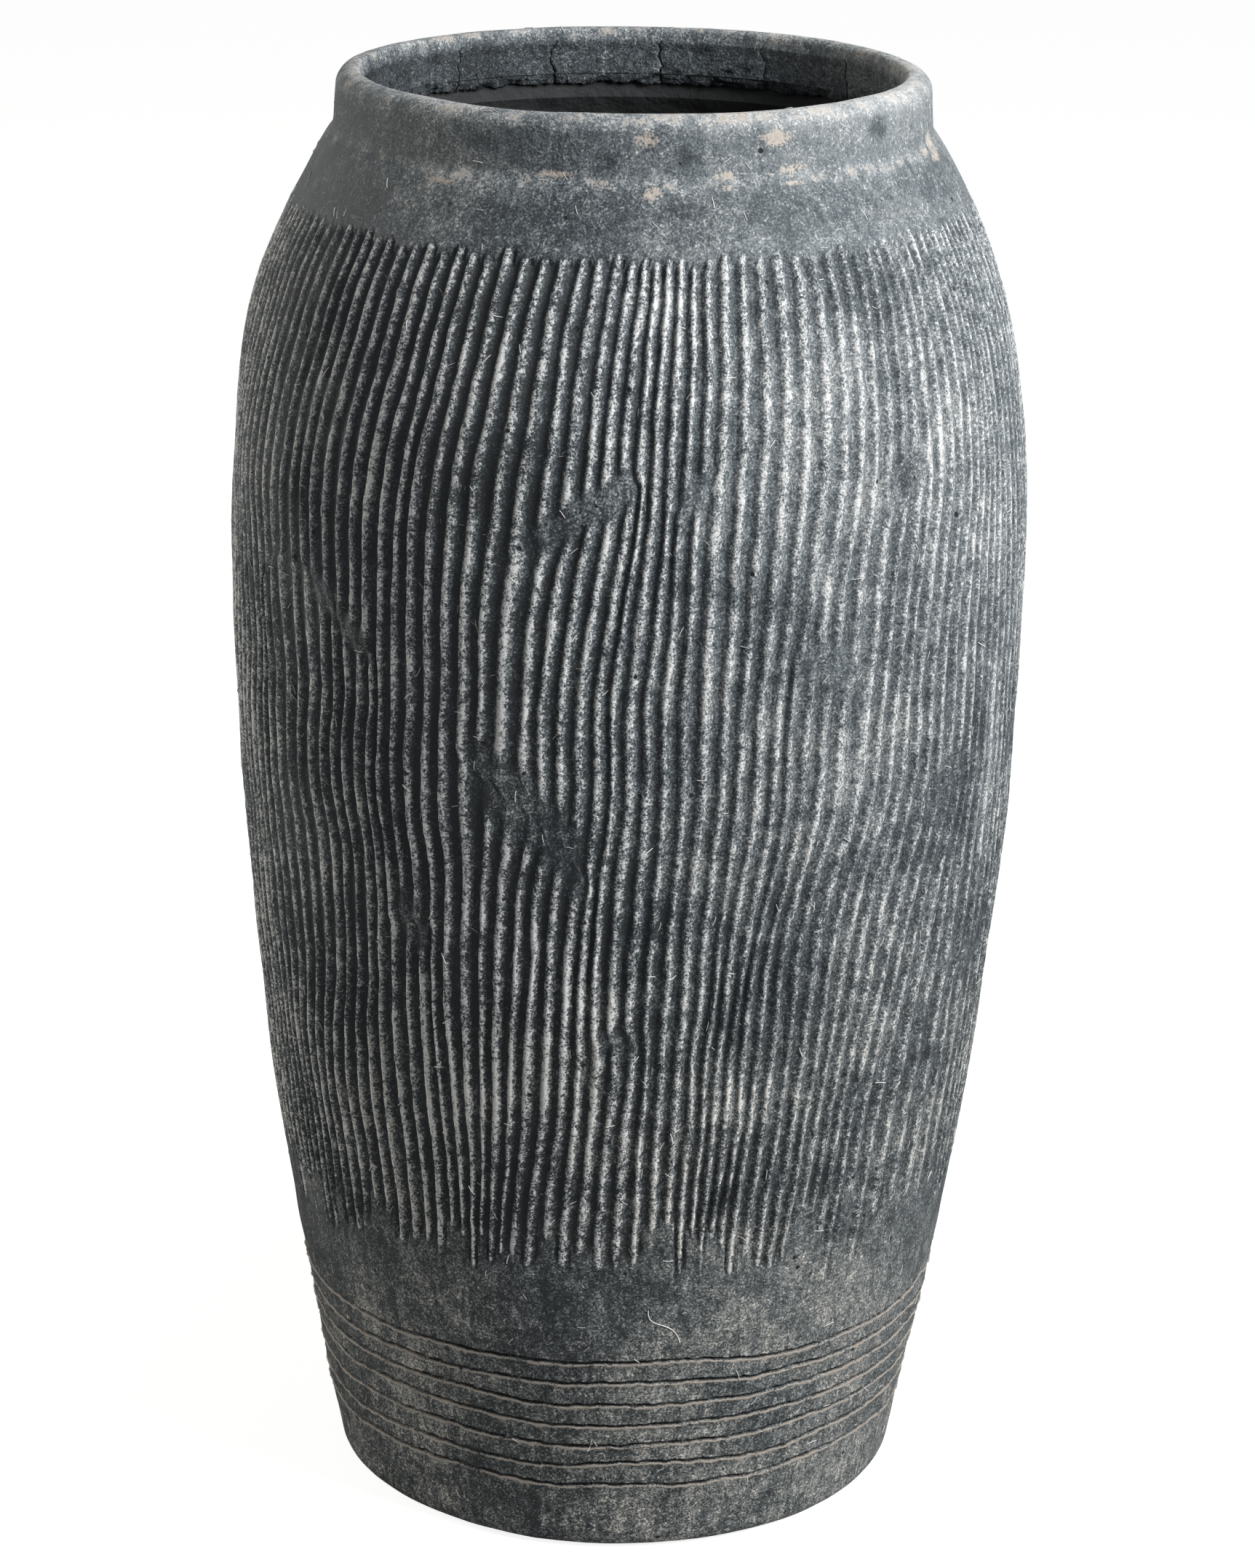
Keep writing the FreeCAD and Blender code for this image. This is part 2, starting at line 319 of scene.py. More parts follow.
# The side facing the key lamp is paler, with evener crests and lighter grooves: painted sheen and light,
# partly heavier brushing where the brush was loaded again.
toward_key_lamp = add(wash, "VectorMath", spot, (0.85, -0.53, 0.0), operation="DOT_PRODUCT", output=1)
sweep = add(wash, "MapRange", toward_key_lamp, 30 * MM, 150 * MM, 0.0, 1.0, **eased)
groove = add(wash, "SUBTRACT", 1.0, flank)
sunk = add(wash, "MULTIPLY", groove, combing)
unsmeared = add(wash, "SUBTRACT", 1.0, smeared)
sunk = add(wash, "MULTIPLY", sunk, unsmeared)
lit_side_groove_fill = add(wash, "MULTIPLY_ADD", sweep, -0.75, 1.0)
sunk = add(wash, "MULTIPLY", sunk, lit_side_groove_fill)
evened = add(wash, "MULTIPLY_ADD", sweep, -0.66, 1.0)
crest = add(wash, "MULTIPLY", crest, evened)
# The side away from the key lamp has duller crests and darker plain bands: painted shade, partly a drier
# brush that was all but dry on the plain bands.
far_side_dry_brush_and_shade = add(wash, "MapRange", toward_key_lamp, -20 * MM, -115 * MM, 0.0, 1.0, **eased)
drier = add(wash, "MapRange", toward_key_lamp, 25 * MM, -45 * MM, 1.0, 0.64)
crest = add(wash, "MULTIPLY", crest, drier)
uncombed = add(wash, "SUBTRACT", 1.0, combing)
far_side_dry_brush_and_shade = add(wash, "MULTIPLY", far_side_dry_brush_and_shade, uncombed)
above_floor = add(wash, "SeparateXYZ", spot, output=2)
under_lip = add(wash, "MapRange", above_floor, 590 * MM, 598 * MM, 1.0, 0.0)
far_side_dry_brush_and_shade = add(wash, "MULTIPLY", far_side_dry_brush_and_shade, under_lip)
# Where it skipped over the tooth it left curled scratches and flecks half a millimetre wide.
scratch = add(wash, "TexNoise", spot, None, 1 / (5 * MM), 2.0, 0.6, named={"Distortion": 0.7})
scratch = add(wash, "SUBTRACT", scratch, 0.5)
scratch = add(wash, "ABSOLUTE", scratch)
scratch = add(wash, "MapRange", scratch, 0.0, 0.04, 1.0, 0.0)
skipped = add(wash, "MapRange", speck, 0.42, 0.6, 0.0, 1.0)
scratch = add(wash, "MULTIPLY", scratch, skipped)
unsunk = add(wash, "SUBTRACT", 1.0, sunk)
scratch = add(wash, "MULTIPLY", scratch, unsunk)
# Little of it went in over the rim.
flat = add(wash, "VectorMath", spot, (1.0, 1.0, 0.0), operation="MULTIPLY")
from_axis = add(wash, "VectorMath", flat, operation="LENGTH", output=1)
within_rim = add(wash, "MapRange", from_axis, 112.5 * MM, 110.5 * MM, 0.0, 1.0)
down_bore = add(wash, "MapRange", above_floor, 599 * MM, 592 * MM, 0.0, 1.0)
within_rim = add(wash, "MULTIPLY", within_rim, down_bore)
# How much grey the brush left at each level, lighter towards the top as painted light from above, and how
# much more on the lamp side as painted sheen.
share_up = add(wash, "DIVIDE", above_floor, 600 * MM)
on_collar = add(wash, "MapRange", above_floor, 568 * MM, 580 * MM, 0.0, 1.0)
brushing_and_painted_light_by_level = add(wash, "FloatCurve", 1.0, share_up)
lit_side_sheen_and_brushing_by_level = add(wash, "FloatCurve", 1.0, share_up)
drawn(brushing_and_painted_light_by_level, 0.515, 0.77, (
    (0.045, 0.51), (0.07, 0.475), (0.15, 0.475), (0.19, 0.47), (0.45, 0.49), (0.7, 0.51), (0.95, 0.525),
    (0.965, 0.565), (0.985, 0.57),
))
drawn(lit_side_sheen_and_brushing_by_level, 0.6, 0.74, (
    (0.17, 0.59), (0.25, 0.555), (0.6, 0.555), (0.8, 0.665), (0.92, 0.63), (0.94, 0.56), (0.965, 0.65),
))
brushing_and_painted_light_by_level = add(wash, "SUBTRACT", brushing_and_painted_light_by_level, 0.5)
lit_side_sheen_and_brushing_by_level = add(wash, "SUBTRACT", lit_side_sheen_and_brushing_by_level, 0.5)
lit_side_sheen_and_brushing_by_level = add(wash, "MULTIPLY", lit_side_sheen_and_brushing_by_level, sweep)
# The rubbed edges are broken.
worn_through = add(wash, "MapRange", blotch, 0.4, 0.58, 0.25, 1.0)
rubbed = add(wash, "MULTIPLY", rubbed, worn_through)
# The stains have torn edges.
torn_edge = add(wash, "SUBTRACT", blotch, 0.5)
torn_edge = add(wash, "MULTIPLY_ADD", torn_edge, 2.6, stained)
stained = add(wash, "MapRange", torn_edge, 0.35, 1.1, 0.0, 1.0)
mottle = 0.0
for amount, field in ((2.9, speck), (1.35, grit), (1.15, blotch), (1.1, cloud), (0.9, streak)):
    off_middle = add(wash, "SUBTRACT", field, 0.5)
    mottle = add(wash, "MULTIPLY_ADD", off_middle, amount, mottle)
dusty = add(wash, "MapRange", above_floor, 0.02, 0.42, 1.0, 0.0)
# In the gain and the load, the lamp side's paler sweep is painted sheen, the levels are partly painted
# light from above, the far side's darker crests and bands are painted shade, and the rings' pale lips are
# partly a painted highlight.
gain = 0.62
for amount, field in (
    (0.75, crest), (0.2, combing), (-0.1, sunk), (0.28, dusty), (-0.28, sweep), (-0.14, on_collar),
):
    gain = add(wash, "MULTIPLY_ADD", field, amount, gain)
load = add(wash, "MULTIPLY_ADD", mottle, gain, 0.35)
low_crest = add(wash, "MULTIPLY", crest, dusty)
for amount, field in (
    (0.45, crest), (-0.36, sunk), (1.0, lit_side_sheen_and_brushing_by_level), (1.0, brushing_and_painted_light_by_level), (-0.06, smeared), (0.2, rubbed),
    (-0.26, stained), (-0.02, within_rim), (-0.21, far_side_dry_brush_and_shade), (0.3, scratch), (0.2, scuffed),
    (0.24, lip), (0.2, low_crest),
):
    load = add(wash, "MULTIPLY_ADD", field, amount, load)
brushed = add(wash, "ValToRGB", load)
stops = brushed.node.color_ramp.elements
stops[0].position, stops[0].color = 0.0, linear("#1B1E21")
stops[1].position, stops[1].color = 1.0, linear("#CAC9C6")
for position, code in ((0.2, "#2F3437"), (0.4, "#4D5356"), (0.6, "#75797A"), (0.8, "#9C9C9A")):
    stop = stops.new(position)
    stop.color = linear(code)
# Dust off the floor warms the lower half, in patches.
patchy = add(wash, "SUBTRACT", cloud, 0.5)
patchy = add(wash, "MULTIPLY_ADD", patchy, 1.6, dusty)
patchy = add(wash, "MULTIPLY_ADD", crest, -0.6, patchy)
patchy = add(wash, "Clamp", patchy, 0.0, 1.0)
cool, warm = (0.97, 0.998, 1.03, 1.0), (1.03, 1.0, 0.955, 1.0)
dust = add(wash, "Mix", patchy, named={6: cool, 7: warm}, **in_colour)
tinted = add(wash, "Mix", 1.0, named={6: brushed, 7: dust}, **in_colour, blend_type="MULTIPLY")
# Creases and lips are rubbed down to bare beige clay in places, and so is each flake that came off; on the
# scored rings' upward lower lips the beige is partly a painted highlight.
bare_and_highlight_share = 0.0
for mark, break_up, start, stop in (
    (lip, blotch, 0.42, 0.8), (rubbed, blotch, 0.8, 1.3), (chipped, grit, 0.3, 0.8),
):
    share = add(wash, "SUBTRACT", break_up, 0.5)
    share = add(wash, "MULTIPLY_ADD", share, 2.4, mark)
    off_speck = add(wash, "SUBTRACT", speck, 0.5)
    share = add(wash, "MULTIPLY_ADD", off_speck, 1.6, share)
    share = add(wash, "MapRange", share, start, stop, 0.0, 0.9)
    marked = add(wash, "GREATER_THAN", mark, 0.02)
    share = add(wash, "MULTIPLY", share, marked)
    bare_and_highlight_share = add(wash, "MAXIMUM", share, bare_and_highlight_share)
worn_and_highlit = add(wash, "Mix", bare_and_highlight_share, named={6: tinted, 7: linear("#A9A198")}, **in_colour)
# Wash stays in a scored slot, but for the stretches where it has crumbled, and in the pinholes that
# trapped air left, up to 2 mm across and about 50 mm apart.
slot_break = add(wash, "MapRange", blotch, 0.38, 0.54, 0.12, 1.0)
slot_share = add(wash, "MULTIPLY", slot, slot_break)
nearest_hole = add(wash, "TexVoronoi", spot, None, 1 / (18 * MM))
pinhole = add(wash, "MapRange", nearest_hole, 0.04, 0.066, 1.0, 0.0)
dark_share = add(wash, "MAXIMUM", slot_share, pinhole)
holed = add(wash, "Mix", dark_share, named={6: worn_and_highlit, 7: linear("#111213")}, **in_colour)
wash.links.new(holed, wash_shader.inputs["Base Color"])
roughness = add(wash, "MapRange", load, 0.0, 1.0, 0.6, 0.88)
wash.links.new(roughness, wash_shader.inputs["Roughness"])
# Heights of the tooth in millimetres; the pressed clay inside the rim is rougher.
tooth = add(wash, "MULTIPLY", speck, 0.4)
tooth = add(wash, "MULTIPLY_ADD", grit, 0.55, tooth)
tooth = add(wash, "MULTIPLY_ADD", blotch, 0.6, tooth)
torn = add(wash, "MULTIPLY_ADD", within_rim, 1.6, 1.0)
tooth = add(wash, "MULTIPLY", tooth, torn)
tooth = add(wash, "MULTIPLY_ADD", pinhole, -0.9, tooth)
relief = add(wash, "Bump", 0.85, 1.0 * MM, named={"Height": tooth})
wash.links.new(relief, wash_shader.inputs["Normal"])

# Bare clay inside: the same body, pressed by hand, dulled by wash that ran in and dried unbrushed.
bare_clay, bare, bare_shader = new_finish("unbrushed fibre clay inside")
spot = add(bare, "TexCoord", output=3)
press = add(bare, "TexNoise", spot, None, 1 / (14 * MM), 5.0, 0.6)
tone = add(bare, "Mix", press, named={6: linear("#1E2022"), 7: linear("#4A4D4F")}, **in_colour)
# Most wash ran in just under the mouth.
height_in = add(bare, "SeparateXYZ", spot, output=2)
ran_in = add(bare, "MapRange", height_in, 0.5, 0.565, 1.0, 0.4)
ran_in = add(bare, "CombineColor", ran_in, ran_in, ran_in)
tone = add(bare, "Mix", 1.0, named={6: tone, 7: ran_in}, **in_colour, blend_type="MULTIPLY")
bare.links.new(tone, bare_shader.inputs["Base Color"])
bare_shader.inputs["Roughness"].default_value = 0.85
press_bump = add(bare, "Bump", 1.0, 2.5 * MM, named={"Height": press})
bare.links.new(press_bump, bare_shader.inputs["Normal"])


def clad(tree, shape):
    """Washed clay on the outside of a shape and bare clay on its inside."""
    skin = add(tree, "InputNamedAttribute", "skin")
    outside = add(tree, "GREATER_THAN", skin, 0.4)
    all_bare = add(tree, "SetMaterial", shape, None, bare_clay)
    whole = add(tree, "RealizeInstances", all_bare)
    return add(tree, "SetMaterial", whole, outside, washed_clay)


smooth, given, kept = geometry_tree("hand evened clay", {})
place, height, skin, share = read_blank(smooth)
turn = add(smooth, "MULTIPLY_ADD", share, 2 * math.pi, -math.pi)
uneven = hand_uneven(smooth, place)
sunk_by = add(smooth, "MULTIPLY", uneven, skin)
rise = add(smooth, "MULTIPLY", sunk_by, -1.0)
off_crease = add(smooth, "SUBTRACT", height, 575 * MM)
off_crease = add(smooth, "ABSOLUTE", off_crease)
rubbed_mark = add(smooth, "MapRange", off_crease, 0.6 * MM, 3 * MM, 0.8, 0.0)
lip_mark = add(smooth, "MapRange", height, 592 * MM, 598 * MM, 0.0, 0.8)
rubbed_mark = add(smooth, "MAXIMUM", rubbed_mark, lip_mark)
shape = add(smooth, "StoreNamedAttribute", given["Shape"], None, "rubbed", rubbed_mark)
shape = set_along_normal(smooth, shape, turn, rise)
smooth.links.new(clad(smooth, shape), kept["Shape"])


def spotted(piece, mark, spots):
    """Marks spots on a piece, from each one's turn in degrees, height, half width and half height in mm."""
    places = np.zeros(len(piece.data.vertices) * 3, np.float32)
    piece.data.vertices.foreach_get("co", places)
    x, y, z = places.reshape(-1, 3).T
    turn = np.degrees(np.arctan2(x, -y))
    strength = np.zeros(len(x))
    for at_turn, at_height, half_width, half_height in spots:
        aside = ((turn - at_turn + 180) % 360 - 180) * np.radians(np.hypot(x, y)) / (half_width * MM)
        away = np.hypot(aside, (z - at_height * MM) / (half_height * MM))
        strength = np.maximum(strength, 1.25 - away)
    stored = piece.data.attributes.new(mark, "FLOAT", "POINT")
    stored.data.foreach_set("value", strength.clip(0, 1).astype(np.float32))


recess_radius = base_radius - rest_ring_width
slab_corner = (base_radius, 0.0)
slab_edge = rounded(
    slab_corner, (recess_radius, 0.0), (wall_radius(slab_rim), slab_rim), base_edge_round, 10
)
floor_radius = wall_radius(slab_rim, wall) - 0.2 * MM
slab_outline = [(0.0, underside_recess), (recess_radius, underside_recess), (recess_radius, 0.0)]
slab_outline += [(recess_radius + 11 * MM, 0.0)] + slab_edge + [(wall_radius(slab_rim), slab_rim)]
slab_skin = [0] * 5 + [1] * len(slab_edge)
slab_outline += [(floor_radius, slab_rim), (floor_radius, floor_level), (0.0, floor_level)]
slab_skin += [0] * 3
slab_crisp = [1, 2, len(slab_outline) - 4, len(slab_outline) - 3, len(slab_outline) - 2]
plain_columns = 720
base_slab = worked(turned("base_slab", slab_outline, slab_skin, plain_columns, slab_crisp), smooth)
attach(base_slab, "root")
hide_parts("base_slab")

# BASE SEAM COIL AND COLLAR SEAM COIL
# Two coils of soft clay, thumbed into the corner round the floor and under the ledge of the collar.
# They lute the floor and the collar to the wall, and only somebody who looks in past the rim sees them.

# Luting slip: the clay stirred to cream and wiped with a wet thumb, which dries smooth, dark and matte.
luting_slip, slip, slip_shader = new_finish("luting slip")
spot = add(slip, "TexCoord", output=3)
wipe = add(slip, "TexNoise", spot, None, 1 / (9 * MM), 3.0, 0.55)
slip_tone = add(slip, "Mix", wipe, named={6: linear("#17191A"), 7: linear("#3C3E40")}, **in_colour)
slip.links.new(slip_tone, slip_shader.inputs["Base Color"])
slip_shader.inputs["Roughness"].default_value = 0.8
wipe_bump = add(slip, "Bump", 0.8, 1.2 * MM, named={"Height": wipe})
slip.links.new(wipe_bump, slip_shader.inputs["Normal"])
for coil_name in ("base_seam_coil", "collar_seam_coil"):
    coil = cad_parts[coil_name]
    coil.data.materials.clear()
    coil.data.materials.append(luting_slip)

# FOOT SECTION
# The tapering foot, a band of clay turned on the wheel over the slab's rim. Seven rings were scored
# round it with a point while it turned, so that each wanders a little and has crumbled here and there.

ring_count = 7
lowest_ring = 33 * MM
ring_pitch = 9.75 * MM
ring_reach = 2.4 * MM
score, given, kept = geometry_tree(
    "scored rings",
    {
        "Lowest ring": lowest_ring, "Pitch": ring_pitch, "Reach": ring_reach, "Depth": 1.9 * MM,
        "Wander": 9.5 * MM, "Jag": 2.6 * MM,
    },
)
place, height, skin, share = read_blank(score)
turn = add(score, "MULTIPLY_ADD", share, 2 * math.pi, -math.pi)
above_lowest = add(score, "SUBTRACT", height, given["Lowest ring"])
ring_number = add(score, "DIVIDE", above_lowest, given["Pitch"])
nearest = add(score, "ROUND", ring_number)
nearest = add(score, "Clamp", nearest, 0.0, ring_count - 1.0)
off_ring = add(score, "SUBTRACT", ring_number, nearest)
off_ring = add(score, "MULTIPLY", off_ring, given["Pitch"])
off_ring = add(score, "DIVIDE", off_ring, given["Reach"])
near_ring = add(score, "MapRange", off_ring, -1.0, 1.0, 0.0, 1.0)
cut = add(score, "FloatCurve", 1.0, near_ring)
drawn(cut, 0.5, 0.5, (
    (0.2, 0.52), (0.29, 0.66), (0.37, 0.5), (0.44, 0.08), (0.5, 0.0), (0.57, 0.06), (0.66, 0.44),
    (0.74, 0.55), (0.8, 0.5),
))
cut_level = add(score, "MULTIPLY_ADD", cut, 2.0, -1.0)
crumble = add(score, "TexNoise", place, None, 1 / (11 * MM), 4.0, 0.75)
crumble = add(score, "MapRange", crumble, 0.36, 0.62, 0.1, 1.4)
cut_depth = add(score, "MULTIPLY", given["Depth"], crumble)
cut_rise = add(score, "MULTIPLY", cut_level, cut_depth)
uneven = hand_uneven(score, place)
rise = add(score, "SUBTRACT", cut_rise, uneven)
rise = add(score, "MULTIPLY", rise, skin)
off_slot = add(score, "ABSOLUTE", off_ring)
slot_mark = add(score, "MapRange", off_slot, 0.12, 0.4, 1.0, 0.0, **eased)
slot_mark = add(score, "MULTIPLY", slot_mark, skin)
# The lower lip of each ring faces up and is marked for pale beige paint: partly bare clay, partly a painted
# highlight.
off_lip = add(score, "ADD", off_ring, 0.42)
off_lip = add(score, "ABSOLUTE", off_lip)
lip_mark = add(score, "MapRange", off_lip, 0.08, 0.3, 1.0, 0.0, **eased)
lip_mark = add(score, "MULTIPLY", lip_mark, skin)
shape = given["Shape"]
for title, field in (("slot", slot_mark), ("lip", lip_mark)):
    shape = add(score, "StoreNamedAttribute", shape, None, title, field)
shape = set_along_normal(score, shape, turn, rise)
own_wander = add(score, "MULTIPLY", nearest, 0.021)
own_place = add(score, "CombineXYZ", 0.0, 0.0, own_wander)
wander_place = add(score, "VectorMath", place, (1.0, 1.0, 0.0), own_place, operation="MULTIPLY_ADD")
wander = add(score, "TexNoise", wander_place, None, 13.0, 2.0, 0.45)
wander = add(score, "SUBTRACT", wander, 0.5)
wander = add(score, "MULTIPLY", wander, given["Wander"])
jag = add(score, "TexNoise", place, None, 1 / (6 * MM), 2.0, 0.6)
jag = add(score, "SUBTRACT", jag, 0.5)
wander = add(score, "MULTIPLY_ADD", jag, given["Jag"], wander)
from_below = add(score, "MapRange", height, 14 * MM, 29 * MM, 0.0, 1.0, **eased)
from_above = add(score, "MapRange", height, 94.5 * MM, 103 * MM, 1.0, 0.0, **eased)
wander = add(score, "MULTIPLY", wander, from_below)
wander = add(score, "MULTIPLY", wander, from_above)
wander = add(score, "MULTIPLY", wander, skin)
lift = add(score, "CombineXYZ", 0.0, 0.0, wander)
shape = add(score, "SetPosition", shape, None, None, lift)
score.links.new(clad(score, shape), kept["Shape"])

ring_levels = []
for index in range(ring_count):
    middle = lowest_ring + index * ring_pitch
    offsets = (-1.0, -0.55, -0.38, -0.24, -0.12, 0.0, 0.12, 0.26, 0.42, 0.62, 1.0)
    ring_levels += [middle + offset * ring_reach for offset in offsets]
    if index < ring_count - 1:
        ring_levels += [middle + 0.38 * ring_pitch, middle + 0.62 * ring_pitch]
foot_levels = levels((slab_rim, ring_levels[0], 4 * MM))[:-1] + ring_levels
foot_levels += levels((ring_levels[-1], foot_top, 3 * MM))[1:]
foot_inside = levels((foot_top, slab_rim, 16 * MM))
foot_outline = [(wall_radius(height), height) for height in foot_levels]
foot_outline += [(wall_radius(height, wall), height) for height in foot_inside]
foot_skin = [1] * len(foot_levels) + [0] * len(foot_inside)
foot_corners = [0, len(foot_levels) - 1, len(foot_levels), len(foot_outline) - 1]
foot_columns = 840
foot_section = worked(turned("foot_section", foot_outline, foot_skin, foot_columns, foot_corners), score)
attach(foot_section, "root")
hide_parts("foot_section")

# LOWER BODY, UPPER BODY AND SHOULDER SECTIONS
# Three thrown rings of fibre clay, stacked and luted into one wall. While it was leather hard, a
# toothed comb was drawn down it in overlapping strokes: each stroke rakes out a few grooves, leaves
# rounded ribs between them, smears where it ends, and doesn't quite line up with its neighbour.

rib_count = 140
columns_per_rib = 8

ending = bpy.data.node_groups.new("end of one comb stroke", "GeometryNodeTree")
for title in (
    "Turn", "Height", "Jitter", "Shift so far", "Smear so far", "At turn", "At height", "Slope",
    "Half width", "Shift", "Smear", "Smear height", "Fade",
):
    ending.interface.new_socket(title, in_out="INPUT", socket_type="NodeSocketFloat")
ending.interface.new_socket("Shift so far", in_out="OUTPUT", socket_type="NodeSocketFloat")
ending.interface.new_socket("Smear so far", in_out="OUTPUT", socket_type="NodeSocketFloat")
stroke = ending.nodes.new("NodeGroupInput").outputs
stroke_out = ending.nodes.new("NodeGroupOutput").inputs
across = add(ending, "SUBTRACT", stroke["Turn"], stroke["At turn"])
across = add(ending, "WRAP", across, 180.0, -180.0)
end_level = add(ending, "MULTIPLY_ADD", across, stroke["Slope"], stroke["At height"])
end_level = add(ending, "ADD", end_level, stroke["Jitter"])
below = add(ending, "SUBTRACT", end_level, stroke["Height"])
aside = add(ending, "ABSOLUTE", across)
half = add(ending, "MULTIPLY_ADD", stroke["Half width"], 1.1, 2.8)
core = add(ending, "MULTIPLY", stroke["Half width"], 0.75)
within = add(ending, "MapRange", aside, core, half, 1.0, 0.0, **eased)
under = add(ending, "MapRange", below, -2.5 * MM, 2.5 * MM, 0.0, 1.0, **eased)
fading = add(ending, "MapRange", below, 0.0, stroke["Fade"], 1.0, 0.0)
shift = add(ending, "MULTIPLY", stroke["Shift"], within)
shift = add(ending, "MULTIPLY", shift, under)
shift = add(ending, "MULTIPLY_ADD", shift, fading, stroke["Shift so far"])
ending.links.new(shift, stroke_out["Shift so far"])
edge = add(ending, "MULTIPLY", stroke["Half width"], 1.15)
smear_within = add(ending, "MapRange", aside, core, edge, 1.0, 0.0, **eased)
from_end = add(ending, "ABSOLUTE", below)
smear_core = add(ending, "MULTIPLY", stroke["Smear height"], 0.35)
smear = add(ending, "MapRange", from_end, smear_core, stroke["Smear height"], 1.0, 0.0, **eased)
smear = add(ending, "MULTIPLY", smear, smear_within)
smear = add(ending, "MULTIPLY", smear, stroke["Smear"])
smear = add(ending, "MAXIMUM", smear, stroke["Smear so far"])
ending.links.new(smear, stroke_out["Smear so far"])

comb, given, kept = geometry_tree(
    "combed ribs",
    {
        "Ribs": float(rib_count), "Groove depth": 2.2 * MM, "Plain band below ribs": 0.5 * MM,
        "Top": 550.5 * MM, "Bottom": 137 * MM, "Ragged top": 2.2 * MM, "Ragged bottom": 11 * MM,
        "Sway": 2.6, "Wobble": 1.0, "Seed": 7.0,
    },
)
place, height, skin, share = read_blank(comb)
turn = add(comb, "MULTIPLY_ADD", share, 360.0, -180.0)
lane = add(comb, "MULTIPLY", share, given["Ribs"])
# A hair past the column, so that rounding never puts it in the rib before.
lane = add(comb, "ADD", lane, 0.001)
phase = add(comb, "FRACT", lane)
rib = add(comb, "FLOOR", lane)
rib_seed = add(comb, "ADD", rib, given["Seed"])
luck = add(comb, "TexWhiteNoise", None, rib_seed, noise_dimensions="1D")
luck_colour = luck.node.outputs["Color"]
luck_a = add(comb, "SeparateColor", luck_colour)
luck_b, luck_c = luck_a.node.outputs[1], luck_a.node.outputs[2]

# How each run of strokes leans: degrees that a rib lies off its own upright at heights in mm, for runs
# 20 degrees apart. The arm swung, so lower ends lie further left, and the left runs round swellings.
lean_levels = (120, 170, 215, 260, 300, 340, 380, 420, 460, 500, 550)
run_leans = {
    -70: (3.2, 1.8, -0.9, -0.8, -1.3, -2.6, 0.0, -0.1, -2.7, -1.2, 0.4),
    -50: (0.5, -0.6, -0.9, 0.9, 1.5, -1.4, -0.1, -0.4, -1.1, 0.8, 2.5),
    -30: (-0.6, 0.0, -0.8, -0.8, 0.2, -0.7, -0.1, -0.2, 0.0, 2.0, 3.9),
    -10: (-5.7, -4.6, -2.8, -1.8, -1.5, -0.0, -0.1, 1.1, 3.4, 4.7, 7.0),
    10: (-3.8, -3.7, -2.9, -2.1, -1.5, -0.5, -0.1, 0.4, 1.2, 2.0, 3.7),
    30: (-9.0, -7.6, -6.6, -6.1, -3.8, -0.9, 0.1, 1.3, 4.0, 5.5, 5.7),
    50: (-10.4, -9.5, -8.7, -5.9, -3.1, -0.2, 0.1, 1.5, 4.7, 4.9, 4.3),
}
run_apart = 20.0
full_lean = 24.0
level = add(comb, "MapRange", height, lean_levels[0] * MM, lean_levels[-1] * MM, 0.0, 1.0)
shift = 0.0
for run_turn, amounts in run_leans.items():
    lean_curve = add(comb, "FloatCurve", 1.0, level)
    shares = [(at_level - lean_levels[0]) / (lean_levels[-1] - lean_levels[0]) for at_level in lean_levels]
    leans = [0.5 + amount / full_lean for amount in amounts]
    drawn(lean_curve, leans[0], leans[-1], list(zip(shares, leans))[1:-1])
    leaning = add(comb, "MULTIPLY_ADD", lean_curve, full_lean, -0.5 * full_lean)
    off_run = add(comb, "SUBTRACT", turn, run_turn)
    off_run = add(comb, "ABSOLUTE", off_run)
    in_run = add(comb, "MapRange", off_run, 0.0, run_apart, 1.0, 0.0, **eased)
    shift = add(comb, "MULTIPLY_ADD", leaning, in_run, shift)
sway = add(comb, "TexNoise", place, None, 10.0, 1.0, 0.5)
sway = add(comb, "SUBTRACT", sway, 0.5)
shift = add(comb, "MULTIPLY_ADD", sway, given["Sway"], shift)
wobble_place = add(comb, "VectorMath", place, (95.0, 95.0, 38.0), operation="MULTIPLY")
wobble = add(comb, "TexNoise", wobble_place, None, 1.0, 2.0, 0.5)
wobble = add(comb, "SUBTRACT", wobble, 0.5)
shift = add(comb, "MULTIPLY_ADD", wobble, given["Wobble"], shift)

# Each stroke's end: its turn in degrees, height in mm, slope in mm a degree, half width in degrees, how
# many degrees the next stroke is off, how strong and how many mm tall its smear is, and the mm over
# which the ribs come back into line.
jitter = add(comb, "MULTIPLY_ADD", luck_b, 5 * MM, -2.5 * MM)
smear = add(comb, "Value")
smear.default_value = 0.0
stroke_ends = [
    (-9.0, 456, 2.0, 6.2, 1.3, 1.0, 9, 210),
    (8.0, 463, 1.6, 2.6, -0.7, 0.9, 11, 180),
    (37.5, 462, 1.0, 3.4, 1.2, 0.9, 9, 160),
    (-43.5, 404, -2.0, 6.0, 1.3, 0.9, 9, 200),
    (-13.0, 333, -2.6, 8.4, 1.3, 0.85, 19, 190),
    (28.5, 392, -1.6, 3.8, -1.2, 0.7, 11, 150),
    (-58.5, 414, 2.0, 2.4, -1.3, 0.8, 7, 140),
    (1.6, 241, 0.0, 2.6, 0.7, 0.7, 6, 90),
    (-31.5, 284, 0.0, 2.4, 1.2, 0.7, 14, 120),
    (52.0, 330, 1.5, 4.5, 1.2, 0.6, 14, 150),
]
